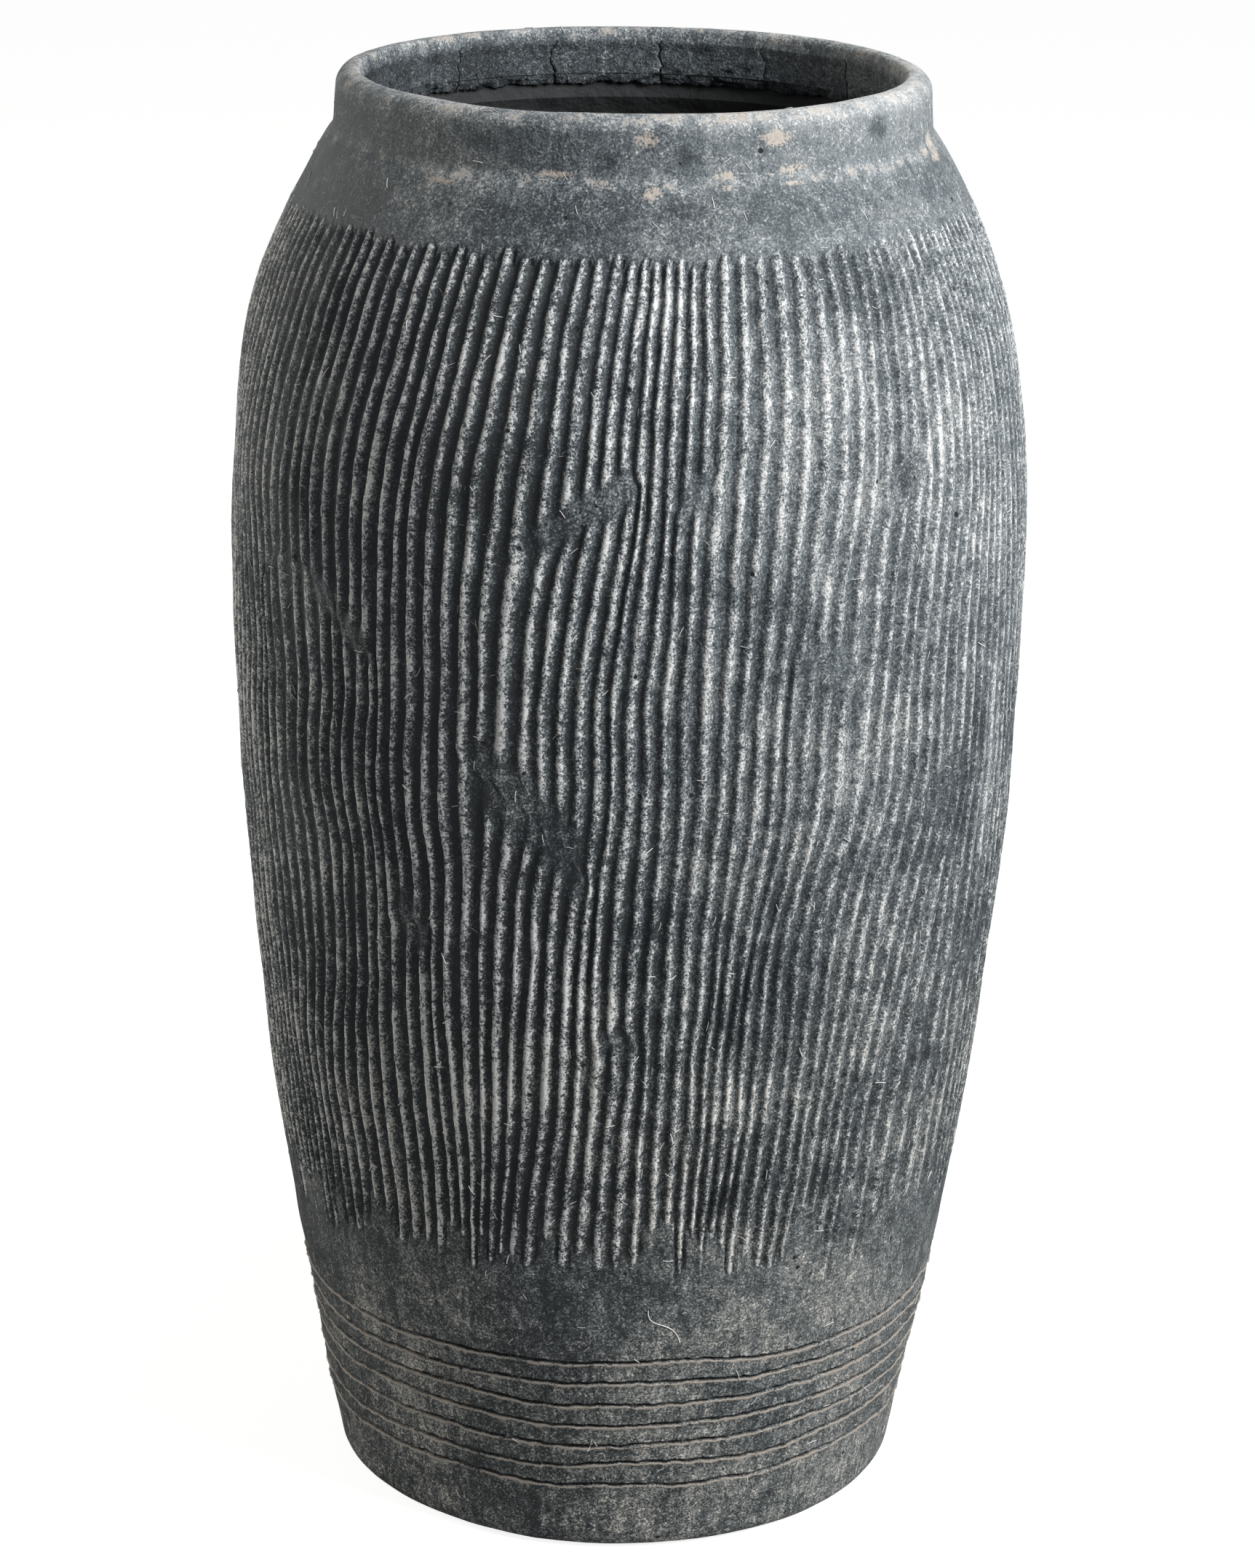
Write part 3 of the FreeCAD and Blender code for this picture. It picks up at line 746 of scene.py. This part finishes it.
# Thirteen more run on round the back.
back_strokes = 13
first_back_turn = 68
back_apart = 17.2
draw = random.Random(11)
for index in range(back_strokes):
    stroke_ends.append((
        first_back_turn + index * back_apart + draw.uniform(-5, 5),
        draw.choice((465, 410, 345, 290, 240)) + draw.uniform(-14, 14), draw.uniform(-2.6, 2.6),
        draw.uniform(2, 7.5), draw.choice((-1, 1)) * draw.uniform(0.9, 1.4), draw.uniform(0.6, 1.0),
        draw.uniform(7, 16), draw.uniform(120, 210),
    ))
for at_turn, at_height, slope, half_width, offset, strength, smear_height, fade in stroke_ends:
    shift = add(
        comb, "Group", node_tree=ending,
        named={
            "Turn": turn, "Height": height, "Jitter": jitter, "Shift so far": shift, "Smear so far": smear,
            "At turn": (at_turn + 180) % 360 - 180, "At height": at_height * MM, "Slope": slope * MM,
            "Half width": half_width, "Shift": offset, "Smear": strength, "Smear height": smear_height * MM,
            "Fade": fade * MM,
        },
    )
    smear = shift.node.outputs[1]
smear_break = add(comb, "TexNoise", place, None, 1 / (5 * MM), 2.0, 0.6)
smear_break = add(comb, "MapRange", smear_break, 0.3, 0.55, 0.55, 1.0)
smear = add(comb, "MULTIPLY", smear, smear_break)

# One rib's crown between two grooves, some broader than others; the comb leant, so each is high at its
# left and falls away to the right.
breadth = add(comb, "MULTIPLY_ADD", luck_a, 0.34, 0.86)
from_middle = add(comb, "SUBTRACT", phase, 0.5)
from_middle = add(comb, "DIVIDE", from_middle, breadth)
nibble = add(comb, "TexNoise", place, None, 1 / (5 * MM), 2.0, 0.6)
nibble = add(comb, "MapRange", nibble, 0.3, 0.7, 0.9, 1.14)
from_middle = add(comb, "MULTIPLY", from_middle, nibble)
across_rib = add(comb, "ADD", from_middle, 0.5)
ridge = add(comb, "FloatCurve", 1.0, across_rib)
drawn(ridge, 0.0, 0.0, (
    (0.08, 0.02), (0.18, 0.3), (0.28, 0.82), (0.4, 1.0), (0.5, 0.93), (0.62, 0.7), (0.74, 0.42),
    (0.84, 0.16), (0.92, 0.02),
))

# Ribs start in rounded tips below the shoulder and run out in ragged ends above the rings.
off_middle = add(comb, "SUBTRACT", phase, 0.5)
off_middle = add(comb, "MULTIPLY", off_middle, off_middle)
fray = add(comb, "TexNoise", place, None, 30.0, 1.0, 0.5)
top_level = add(comb, "MULTIPLY_ADD", luck_b, 2.0, -1.0)
top_level = add(comb, "MULTIPLY_ADD", top_level, given["Ragged top"], given["Top"])
top_level = add(comb, "MULTIPLY_ADD", off_middle, -11 * MM, top_level)
below_top = add(comb, "SUBTRACT", top_level, height)
started = add(comb, "MapRange", below_top, -0.8 * MM, 1.6 * MM, 0.0, 1.0, **eased)
bottom_level = add(comb, "MULTIPLY_ADD", luck_c, 2.0, -1.0)
bottom_level = add(comb, "MULTIPLY_ADD", bottom_level, given["Ragged bottom"], given["Bottom"])
bottom_level = add(comb, "MULTIPLY_ADD", fray, 64 * MM, bottom_level)
bottom_level = add(comb, "SUBTRACT", bottom_level, 32 * MM)
bottom_level = add(comb, "MULTIPLY_ADD", off_middle, 26 * MM, bottom_level)
above_bottom = add(comb, "SUBTRACT", height, bottom_level)
not_ended = add(comb, "MapRange", above_bottom, -2 * MM, 8 * MM, 0.0, 1.0, **eased)
combed = add(comb, "MULTIPLY", started, not_ended)
combed = add(comb, "MULTIPLY", combed, skin)

# Groove depth: the comb bit less on the right, where the clay was drier.
off_right = add(comb, "SUBTRACT", turn, 84.0)
off_right = add(comb, "ABSOLUTE", off_right)
bite = add(comb, "MapRange", off_right, 16.0, 56.0, 0.42, 1.0, **eased)
depth_noise = add(comb, "TexNoise", place, None, 16.0, 2.0, 0.5)
depth_noise = add(comb, "MapRange", depth_noise, 0.3, 0.7, 0.7, 1.2)
depth = add(comb, "MULTIPLY", depth_noise, bite)
depth = add(comb, "MULTIPLY", depth, given["Groove depth"])
unsmeared = add(comb, "SUBTRACT", 1.0, smear)
crown_share = add(comb, "MULTIPLY", ridge, unsmeared)
dip = add(comb, "SUBTRACT", 1.0, ridge)
dip = add(comb, "MULTIPLY", dip, unsmeared)
dip = add(comb, "MULTIPLY_ADD", smear, 0.4, dip)
dip = add(comb, "MULTIPLY", dip, depth)
dip = add(comb, "MULTIPLY", dip, combed)
plain = add(comb, "SUBTRACT", 1.0, combed)
low_fade = add(comb, "MapRange", height, 106 * MM, 122 * MM, 0.0, 1.0, **eased)
high_fade = add(comb, "MapRange", height, 556 * MM, 573 * MM, 1.0, 0.0, **eased)
plain = add(comb, "MULTIPLY", plain, low_fade)
plain = add(comb, "MULTIPLY", plain, high_fade)
dip = add(comb, "MULTIPLY_ADD", plain, given["Plain band below ribs"], dip)
crumbs = add(comb, "TexNoise", place, None, 1 / (3.2 * MM), 2.0, 0.6)
crumbs = add(comb, "MULTIPLY", crumbs, combed)
dip = add(comb, "MULTIPLY_ADD", crumbs, 0.48 * MM, dip)
uneven = hand_uneven(comb, place)
dip = add(comb, "ADD", dip, uneven)
dip = add(comb, "MULTIPLY", dip, skin)
rise = add(comb, "MULTIPLY", dip, -1.0)
new_turn = add(comb, "MULTIPLY_ADD", shift, skin, turn)
new_turn = add(comb, "RADIANS", new_turn)
crown_mark = add(comb, "MULTIPLY", crown_share, combed)
# The marks are stored before the points move, while each field still reads the blank's own places.
shape = given["Shape"]
rubbed_mark = add(comb, "MapRange", height, 571 * MM, 573.5 * MM, 0.0, 0.8)
comb_marks = {"crown": crown_mark, "combing": combed, "smeared": smear, "rubbed": rubbed_mark}
for title, field in comb_marks.items():
    shape = add(comb, "StoreNamedAttribute", shape, None, title, field)
shape = set_along_normal(comb, shape, new_turn, rise)
comb.links.new(clad(comb, shape), kept["Shape"])


def wall_section(name, outside_levels, inside_levels, top_points=()):
    """A combed ring of the wall, from its outside and inside levels and the points between them."""
    outline = [(wall_radius(height), height) for height in outside_levels] + list(top_points)
    outline += [(wall_radius(height, wall), height) for height in inside_levels]
    skin = [1] * len(outside_levels) + [0] * (len(outline) - len(outside_levels))
    last_outside = len(outside_levels) - 1
    after_top = last_outside + len(top_points) + 1
    crisp = [0, *range(last_outside, after_top + 1), len(outline) - 1]
    blank = turned(name, outline, skin, rib_count * columns_per_rib, crisp)
    section = worked(blank, comb)
    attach(section, "root")
    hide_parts(name)
    return section


middle_joint = 255 * MM
lower_body_section = wall_section(
    "lower_body_section",
    levels(
        (foot_top, 118 * MM, 3.2 * MM), (118 * MM, 166 * MM, 1.6 * MM), (166 * MM, middle_joint, 2.7 * MM)
    ),
    levels((middle_joint, foot_top, 25 * MM)),
)
upper_body_section = wall_section(
    "upper_body_section",
    levels((middle_joint, belly_level, 2.4 * MM)),
    levels((belly_level, middle_joint, 24 * MM)),
)
shoulder_bore = 112.5 * MM
upstand_radius = 117 * MM
ledge_level = 580 * MM
bore_foot = 559 * MM
while wall_radius(bore_foot, wall) > shoulder_bore:
    bore_foot += 0.2 * MM
shoulder_section = wall_section(
    "shoulder_section",
    levels(
        (belly_level, 542 * MM, 2.8 * MM), (542 * MM, 556 * MM, 1.0 * MM), (556 * MM, seat_level, 2.3 * MM)
    ),
    levels((bore_foot, 520 * MM, 9 * MM), (520 * MM, belly_level, 24 * MM)),
    [(upstand_radius, seat_level), (upstand_radius, ledge_level), (shoulder_bore, ledge_level)],
)
spotted(shoulder_section, "chipped", [
    (3.5, 571.5, 4.6, 2.6), (29.5, 573, 5.5, 1.6), (17, 573, 4, 1.6), (-36, 571, 9, 1.5), (74, 572, 7, 3),
    (-122, 566, 5, 3), (150, 571, 6, 2),
])
spotted(shoulder_section, "stained", [
    (-24, 562, 16, 7), (9, 565, 12, 5), (42, 462, 9, 16), (-30, 480, 8, 22), (-48, 520, 10, 18),
])
spotted(upper_body_section, "stained", [
    (-27, 370, 9, 18), (-38, 395, 8, 20), (-20, 340, 8, 14), (22, 300, 8, 16), (-42, 290, 9, 26),
    (60, 350, 9, 15),
])
spotted(upper_body_section, "scuffed", [
    (33, 345, 13, 20), (38, 322, 9, 16), (66, 330, 12, 40), (20, 372, 6, 9), (-120, 360, 16, 30),
    (150, 300, 14, 26),
])
spotted(shoulder_section, "scuffed", [
    (34, 505, 12, 22), (28, 425, 8, 14), (4, 530, 14, 10), (-170, 480, 16, 30),
])
spotted(lower_body_section, "stained", [
    (-16, 165, 12, 16), (-30, 180, 9, 20), (8, 146, 12, 8), (34, 170, 12, 12), (-44, 225, 9, 22),
])

# NECK COLLAR
# A fat coil of the same clay, rolled round the seat and smoothed upright, with its lip rolled over by
# a wet thumb. It is luted down over the shoulder's upstand, and the crease under it was left as it fell.

mouth_radius = 108.5 * MM
collar_radius = 121.8 * MM
rim_level = 600 * MM
collar_top_radius = collar_radius - 1.8 * MM
lip_width = collar_top_radius - mouth_radius
pads_top = ledge_level + 14 * MM
pad_recess_radius = mouth_radius + 3.2 * MM
outer_lip = rounded(
    (collar_top_radius, rim_level), (collar_radius, seat_level), (mouth_radius, rim_level),
    0.66 * lip_width, 12,
)
inner_lip = rounded(
    (mouth_radius, rim_level), (collar_top_radius, rim_level), (mouth_radius, pads_top), 0.26 * lip_width, 7
)
crease_top = seat_level + 5 * MM
crease_flare = seat_radius - collar_radius - 0.1 * MM
side_levels = levels((seat_level, crease_top, 0.6 * MM), (crease_top, outer_lip[0][1], 1.6 * MM))[:-1]
side_lean = 1.8 * MM / (rim_level - seat_level)
collar_outline = []
for height in side_levels:
    above_crease = max(0.0, (crease_top - height) / (crease_top - seat_level))
    flare = crease_flare * above_crease ** 2.2
    collar_outline.append((collar_radius - (height - seat_level) * side_lean + flare, height))
collar_outline += outer_lip + inner_lip
collar_skin = [1] * len(collar_outline)
collar_outline += [
    (mouth_radius, pads_top), (pad_recess_radius, pads_top), (pad_recess_radius, ledge_level),
    (upstand_radius, ledge_level), (upstand_radius, seat_level),
]
collar_skin += [0] * 5
collar_crisp = [0, *range(len(collar_outline) - 5, len(collar_outline))]
collar_blank = turned("neck_collar", collar_outline, collar_skin, plain_columns, collar_crisp)
neck_collar = worked(collar_blank, smooth)
spotted(neck_collar, "chipped", [
    (2.5, 591, 5, 3), (27, 590, 8, 3.6), (30, 578, 6, 1.8), (75, 577, 6, 4), (17, 577, 5, 2),
    (-14, 577, 9, 1.4), (-100, 590, 4, 3), (-160, 579, 7, 2), (128, 591, 5, 3), (172, 580, 6, 2),
])
spotted(neck_collar, "stained", [
    (10, 585, 7, 7), (-4, 583, 7, 5), (52, 589, 9, 7), (-30, 588, 12, 6), (-140, 587, 14, 7),
    (110, 585, 12, 6),
])
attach(neck_collar, "root")
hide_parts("neck_collar")

# COLLAR LINING PADS
# Flat pads of clay pressed side by side round the inside of the collar to thicken it. Their upright
# joints weren't smoothed away, they cracked a little as they dried, and their lower edge hangs ragged.

pad_count = 15
pad_gap = 0.5 * MM
pad_thickness = 3 * MM
pad_overhang = 4.5 * MM
lining, given, kept = geometry_tree(
    "pressed pads",
    {
        "Pads": float(pad_count), "Gap": pad_gap, "Bore radius": mouth_radius, "Thickness": pad_thickness,
        "Top": pads_top, "Bottom": ledge_level - pad_overhang,
    },
)
# One pad as a block of 49 by 4 by 19 points, which is bent to its place round the bore further on.
block = add(lining, "MeshCube", (1.0, 1.0, 1.0), 49, 4, 19)
block_place = add(lining, "InputPosition")
block = add(
    lining, "StoreNamedAttribute", block, None, "in_pad", None, named={3: block_place},
    data_type="FLOAT_VECTOR",
)
count = add(lining, "FloatToInt", given["Pads"])
row_of_pads = add(lining, "MeshLine", count, None, (0.0, 0.0, 0.0), (1.0, 0.0, 0.0))
pad_number = add(lining, "InputIndex")
row_of_pads = add(lining, "StoreNamedAttribute", row_of_pads, None, "pad", pad_number)
pads = add(lining, "InstanceOnPoints", row_of_pads, None, block)
pads = add(lining, "RealizeInstances", pads)
pad = add(lining, "InputNamedAttribute", "pad")
in_pad = add(lining, "InputNamedAttribute", "in_pad", data_type="FLOAT_VECTOR")
along = add(lining, "SeparateXYZ", in_pad)
deep, high = along.node.outputs[1], along.node.outputs[2]
pad_turn = add(lining, "DIVIDE", 2 * math.pi, given["Pads"])
gap_turn = add(lining, "DIVIDE", given["Gap"], given["Bore radius"])
pad_wide = add(lining, "SUBTRACT", pad_turn, gap_turn)
pad_middle = add(lining, "MULTIPLY", pad, pad_turn)
turn = add(lining, "MULTIPLY_ADD", along, pad_wide, pad_middle)
# Each joint wavers, and both pads beside it follow it.
next_pad = add(lining, "ADD", pad, 1.0)
next_pad = add(lining, "MODULO", next_pad, given["Pads"])
for joint, sign in ((pad, -1.0), (next_pad, 1.0)):
    nearness = add(lining, "MULTIPLY_ADD", along, sign, 0.5)
    apart = add(lining, "MULTIPLY", joint, 3.7)
    joint_place = add(lining, "CombineXYZ", high, apart, 0.0)
    waver = add(lining, "TexNoise", joint_place, None, 2.3, 3.0, 0.6)
    waver = add(lining, "SUBTRACT", waver, 0.5)
    waver = add(lining, "MULTIPLY", waver, nearness)
    turn = add(lining, "MULTIPLY_ADD", waver, 0.11, turn)
deep_share = add(lining, "ADD", deep, 0.5)
high_share = add(lining, "ADD", high, 0.5)
radius = add(lining, "MULTIPLY_ADD", deep_share, given["Thickness"], given["Bore radius"])
# The pads' edges sank under the thumb, their faces are lumpy and torn, and their tops blend into the lip.
around = add(lining, "CombineXYZ", turn, 0.0, high_share)
side = add(lining, "ABSOLUTE", along)
side = add(lining, "MapRange", side, 0.46, 0.5, 0.0, 0.38 * MM, **eased)
end = add(lining, "MapRange", high, -0.3, -0.5, 0.0, 1.4 * MM, **eased)
lump_place = add(lining, "VectorMath", around, (9.0, 1.0, 4.0), operation="MULTIPLY")
lump = add(lining, "TexNoise", lump_place, None, 1.4, 5.0, 0.68)
lump = add(lining, "MULTIPLY_ADD", lump, 2.4 * MM, -0.4 * MM)
inward = add(lining, "ADD", side, lump)
below_lip = add(lining, "MapRange", high, 0.5, 0.25, 0.0, 1.0, **eased)
inward = add(lining, "MULTIPLY_ADD", inward, below_lip, end)
at_face = add(lining, "SUBTRACT", 0.5, deep)
radius = add(lining, "MULTIPLY_ADD", inward, at_face, radius)
rag = add(lining, "TexNoise", around, None, 11.0, 4.0, 0.65)
rag = add(lining, "SUBTRACT", rag, 0.5)
rag = add(lining, "MULTIPLY", rag, 9 * MM)
low_share = add(lining, "SUBTRACT", 1.0, high_share)
rag = add(lining, "MULTIPLY", rag, low_share)
tall = add(lining, "SUBTRACT", given["Top"], given["Bottom"])
height = add(lining, "MULTIPLY_ADD", high_share, tall, given["Bottom"])
height = add(lining, "ADD", height, rag)
sine = add(lining, "SINE", turn)
cosine = add(lining, "COSINE", turn)
x = add(lining, "MULTIPLY", radius, cosine)
y = add(lining, "MULTIPLY", radius, sine)
new_place = add(lining, "CombineXYZ", x, y, height)
pads = add(lining, "SetPosition", pads, None, new_place)
pads = add(lining, "SetShadeSmooth", pads, None, True)
pads = add(lining, "RealizeInstances", pads)
pads = add(lining, "SetMaterial", pads, None, washed_clay)
lining.links.new(pads, kept["Shape"])
pads_blank = bpy.data.objects.new("collar_lining_pads", bpy.data.meshes.new("collar_lining_pads"))
bpy.context.scene.collection.objects.link(pads_blank)
collar_lining_pads = worked(pads_blank, lining)
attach(collar_lining_pads, "root")
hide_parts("collar_lining_pads")

# GLASS FIBRES
# Chopped glass fibre is mixed into the clay to strengthen it. Stray strands lie on the skin, where the
# wash didn't take, as white slivers 1.5 to 4.5 mm long, and one of 25 mm lies across the foot.

# E-glass strand: a bundle of drawn filaments, which is bright white and a little glossy.
glass_fibre, glass, glass_shader = new_finish("chopped glass strand")
spot = add(glass, "TexCoord", output=3)
soil = add(glass, "TexNoise", spot, None, 1 / (6 * MM), 2.0, 0.5)
soil = add(glass, "Mix", soil, named={6: linear("#A9AAA9"), 7: linear("#ECEBE6")}, **in_colour)
glass.links.new(soil, glass_shader.inputs["Base Color"])
glass_shader.inputs["Roughness"].default_value = 0.45

fibre, given, kept = geometry_tree(
    "stray fibres", {"Strands on a square metre": 1900.0, "Length": 2.7 * MM, "Thickness": 0.21 * MM}
)
skins = add(fibre, "JoinGeometry")
for piece in (foot_section, lower_body_section, upper_body_section, shoulder_section, neck_collar):
    piece_skin = add(fibre, "ObjectInfo", named={"Object": piece}, output=4)
    fibre.links.new(piece_skin, skins.node.inputs[0])
skin = add(fibre, "InputNamedAttribute", "skin")
outside = add(fibre, "GREATER_THAN", skin, 0.9)
seats = add(
    fibre, "DistributePointsOnFaces", skins,
    named={"Selection": outside, "Density": given["Strands on a square metre"], "Seed": 5},
)
stand = seats.node.outputs["Rotation"]
spin = add(fibre, "RandomValue", named={2: 0.0, 3: 2 * math.pi, 8: 1}, output=1)
spin = add(fibre, "AxisAngleToRotation", (0.0, 0.0, 1.0), spin)
stand = add(fibre, "RotateRotation", stand, spin, rotation_space="LOCAL")
longer = add(fibre, "RandomValue", named={2: 0.5, 3: 1.7, 8: 2}, output=1)
half_length = add(fibre, "MULTIPLY", given["Length"], 0.5)
back = add(fibre, "MULTIPLY", half_length, -1.0)
bend = add(fibre, "MULTIPLY", half_length, 0.14)
tail = add(fibre, "CombineXYZ", back, 0.0, 0.05 * MM)
middle = add(fibre, "CombineXYZ", 0.0, bend, 0.25 * MM)
head = add(fibre, "CombineXYZ", half_length, 0.0, 0.05 * MM)
strand = add(fibre, "CurveQuadraticBezier", 5, tail, middle, head)
thin = add(fibre, "MULTIPLY", given["Thickness"], 0.5)
round_section = add(fibre, "CurvePrimitiveCircle", 5, named={"Radius": thin})
strand = add(fibre, "CurveToMesh", strand, round_section, named={"Fill Caps": True})
strands = add(fibre, "InstanceOnPoints", seats, None, strand, named={"Rotation": stand, "Scale": longer})
# The long strand, laid on the nearest clay.
long_strand = add(
    fibre, "CurvePrimitiveBezierSegment", 28, (0.013, -0.14, 0.118), (0.0125, -0.1395, 0.108),
    (0.0235, -0.138, 0.115), (0.0262, -0.136, 0.102),
)
long_strand = add(fibre, "ResampleCurve", long_strand, named={"Count": 30})
laid = add(fibre, "Proximity", skins, target_element="FACES")
outward = add(fibre, "InputPosition")
outward = add(fibre, "VectorMath", outward, (1.0, 1.0, 0.0), operation="MULTIPLY")
outward = add(fibre, "VectorMath", outward, operation="NORMALIZE")
outward = add(fibre, "VectorMath", outward, named={"Scale": 0.2 * MM}, operation="SCALE")
laid_out = add(fibre, "VectorMath", laid, outward, operation="ADD")
long_strand = add(fibre, "SetPosition", long_strand, None, laid_out)
stout_section = add(fibre, "CurvePrimitiveCircle", 6, named={"Radius": 0.21 * MM})
long_strand = add(fibre, "CurveToMesh", long_strand, stout_section, named={"Fill Caps": True})
all_strands = add(fibre, "JoinGeometry", long_strand)
fibre.links.new(strands, all_strands.node.inputs[0])
all_strands = add(fibre, "SetShadeSmooth", all_strands, None, True)
all_strands = add(fibre, "RealizeInstances", all_strands)
all_strands = add(fibre, "SetMaterial", all_strands, None, glass_fibre)
fibre.links.new(all_strands, kept["Shape"])
fibre_blank = bpy.data.objects.new("stray_glass_fibres", bpy.data.meshes.new("stray_glass_fibres"))
bpy.context.scene.collection.objects.link(fibre_blank)
stray_fibres = worked(fibre_blank, fibre)
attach(stray_fibres, "root")

# STAGE, LIGHT AND CAMERA
# A plain pale floor, a soft key lamp from the right, a weaker one behind the left edge, a faint fill,
# and the photograph's long lens, looking a little down on the vase.

floor_half_width = 6
floor_brightness = 0.87
floor_paint, floor_nodes, floor_shader = new_finish("pale studio floor")
floor_shader.inputs["Base Color"].default_value = linear("#A6A6A5")
floor_shader.inputs["Roughness"].default_value = 0.9
floor_shader.inputs["Emission Color"].default_value = (1.0, 1.0, 1.0, 1.0)
floor_ray = add(floor_nodes, "LightPath")
floor_glow = add(floor_nodes, "MULTIPLY", floor_ray, floor_brightness)
floor_nodes.links.new(floor_glow, floor_shader.inputs["Emission Strength"])
floor_mesh = bpy.data.meshes.new("studio_floor")
corners = [(x * floor_half_width, y * floor_half_width, 0) for x, y in ((-1, -1), (1, -1), (1, 1), (-1, 1))]
floor_mesh.from_pydata(corners, [], [(0, 1, 2, 3)])
floor_mesh.materials.append(floor_paint)
studio_floor = bpy.data.objects.new("studio_floor", floor_mesh)
bpy.context.scene.collection.objects.link(studio_floor)

faint_fill = 0.09
world = bpy.data.worlds.new("pale studio")
world.use_nodes = True
bpy.context.scene.world = world
sky = world.node_tree
ray = add(sky, "LightPath")
seen = add(sky, "MAXIMUM", ray, ray.node.outputs["Is Glossy Ray"])
seen = add(sky, "MAXIMUM", seen, ray.node.outputs["Is Transmission Ray"])
brightness = add(sky, "MapRange", seen, 0.0, 1.0, faint_fill, 1.0)
background = sky.nodes["Background"]
background.inputs["Color"].default_value = (1.0, 1.0, 1.0, 1.0)
sky.links.new(brightness, background.inputs["Strength"])


def soft_lamp(name, turn, lift, distance, size, power, tint):
    """Square area lamp at an angle round from the front and up, turned to the middle of the vase."""
    lamp = bpy.data.lights.new(name, "AREA")
    lamp.size = size
    lamp.energy = power
    lamp.color = tint
    lamp_object = bpy.data.objects.new(name, lamp)
    bpy.context.scene.collection.objects.link(lamp_object)
    turn, lift = math.radians(turn), math.radians(lift)
    middle = Vector((0, 0, rim_level / 2))
    spoke = Vector((math.sin(turn) * math.cos(lift), -math.cos(turn) * math.cos(lift), math.sin(lift)))
    lamp_object.location = middle + spoke * distance
    lamp_object.rotation_euler = spoke.to_track_quat("Z", "Y").to_euler()


soft_lamp(
    "key lamp from the right", turn=57, lift=38, distance=2.0, size=1.0, power=73, tint=(1.0, 1.0, 1.0)
)
soft_lamp(
    "edge lamp from the left", turn=-106, lift=12, distance=2.3, size=0.6, power=28, tint=(1.0, 0.96, 0.88)
)

camera_data = bpy.data.cameras.new("camera")
camera = bpy.data.objects.new("camera", camera_data)
bpy.context.scene.collection.objects.link(camera)
bpy.context.scene.camera = camera
photo_height = 2156
lens_in_pixels = 6197
pixels_off_middle = 5.5
pitch = math.radians(17.94)
roll = math.radians(0.8)
camera_distance = 3.17 * rim_level
aim = Vector((0, 0, 0.495 * rim_level))
toward = Vector((0, math.cos(pitch), -math.sin(pitch)))
camera.location = aim - toward * camera_distance
camera.rotation_euler = toward.to_track_quat("-Z", "Y").to_euler()
camera.rotation_euler.rotate_axis("Z", roll)
camera_data.sensor_fit = "VERTICAL"
camera_data.sensor_height = 36.0
camera_data.lens = camera_data.sensor_height * lens_in_pixels / photo_height
camera_data.shift_x = pixels_off_middle / photo_height
camera_data.clip_end = 60

bpy.context.scene.view_settings.view_transform = "Standard"
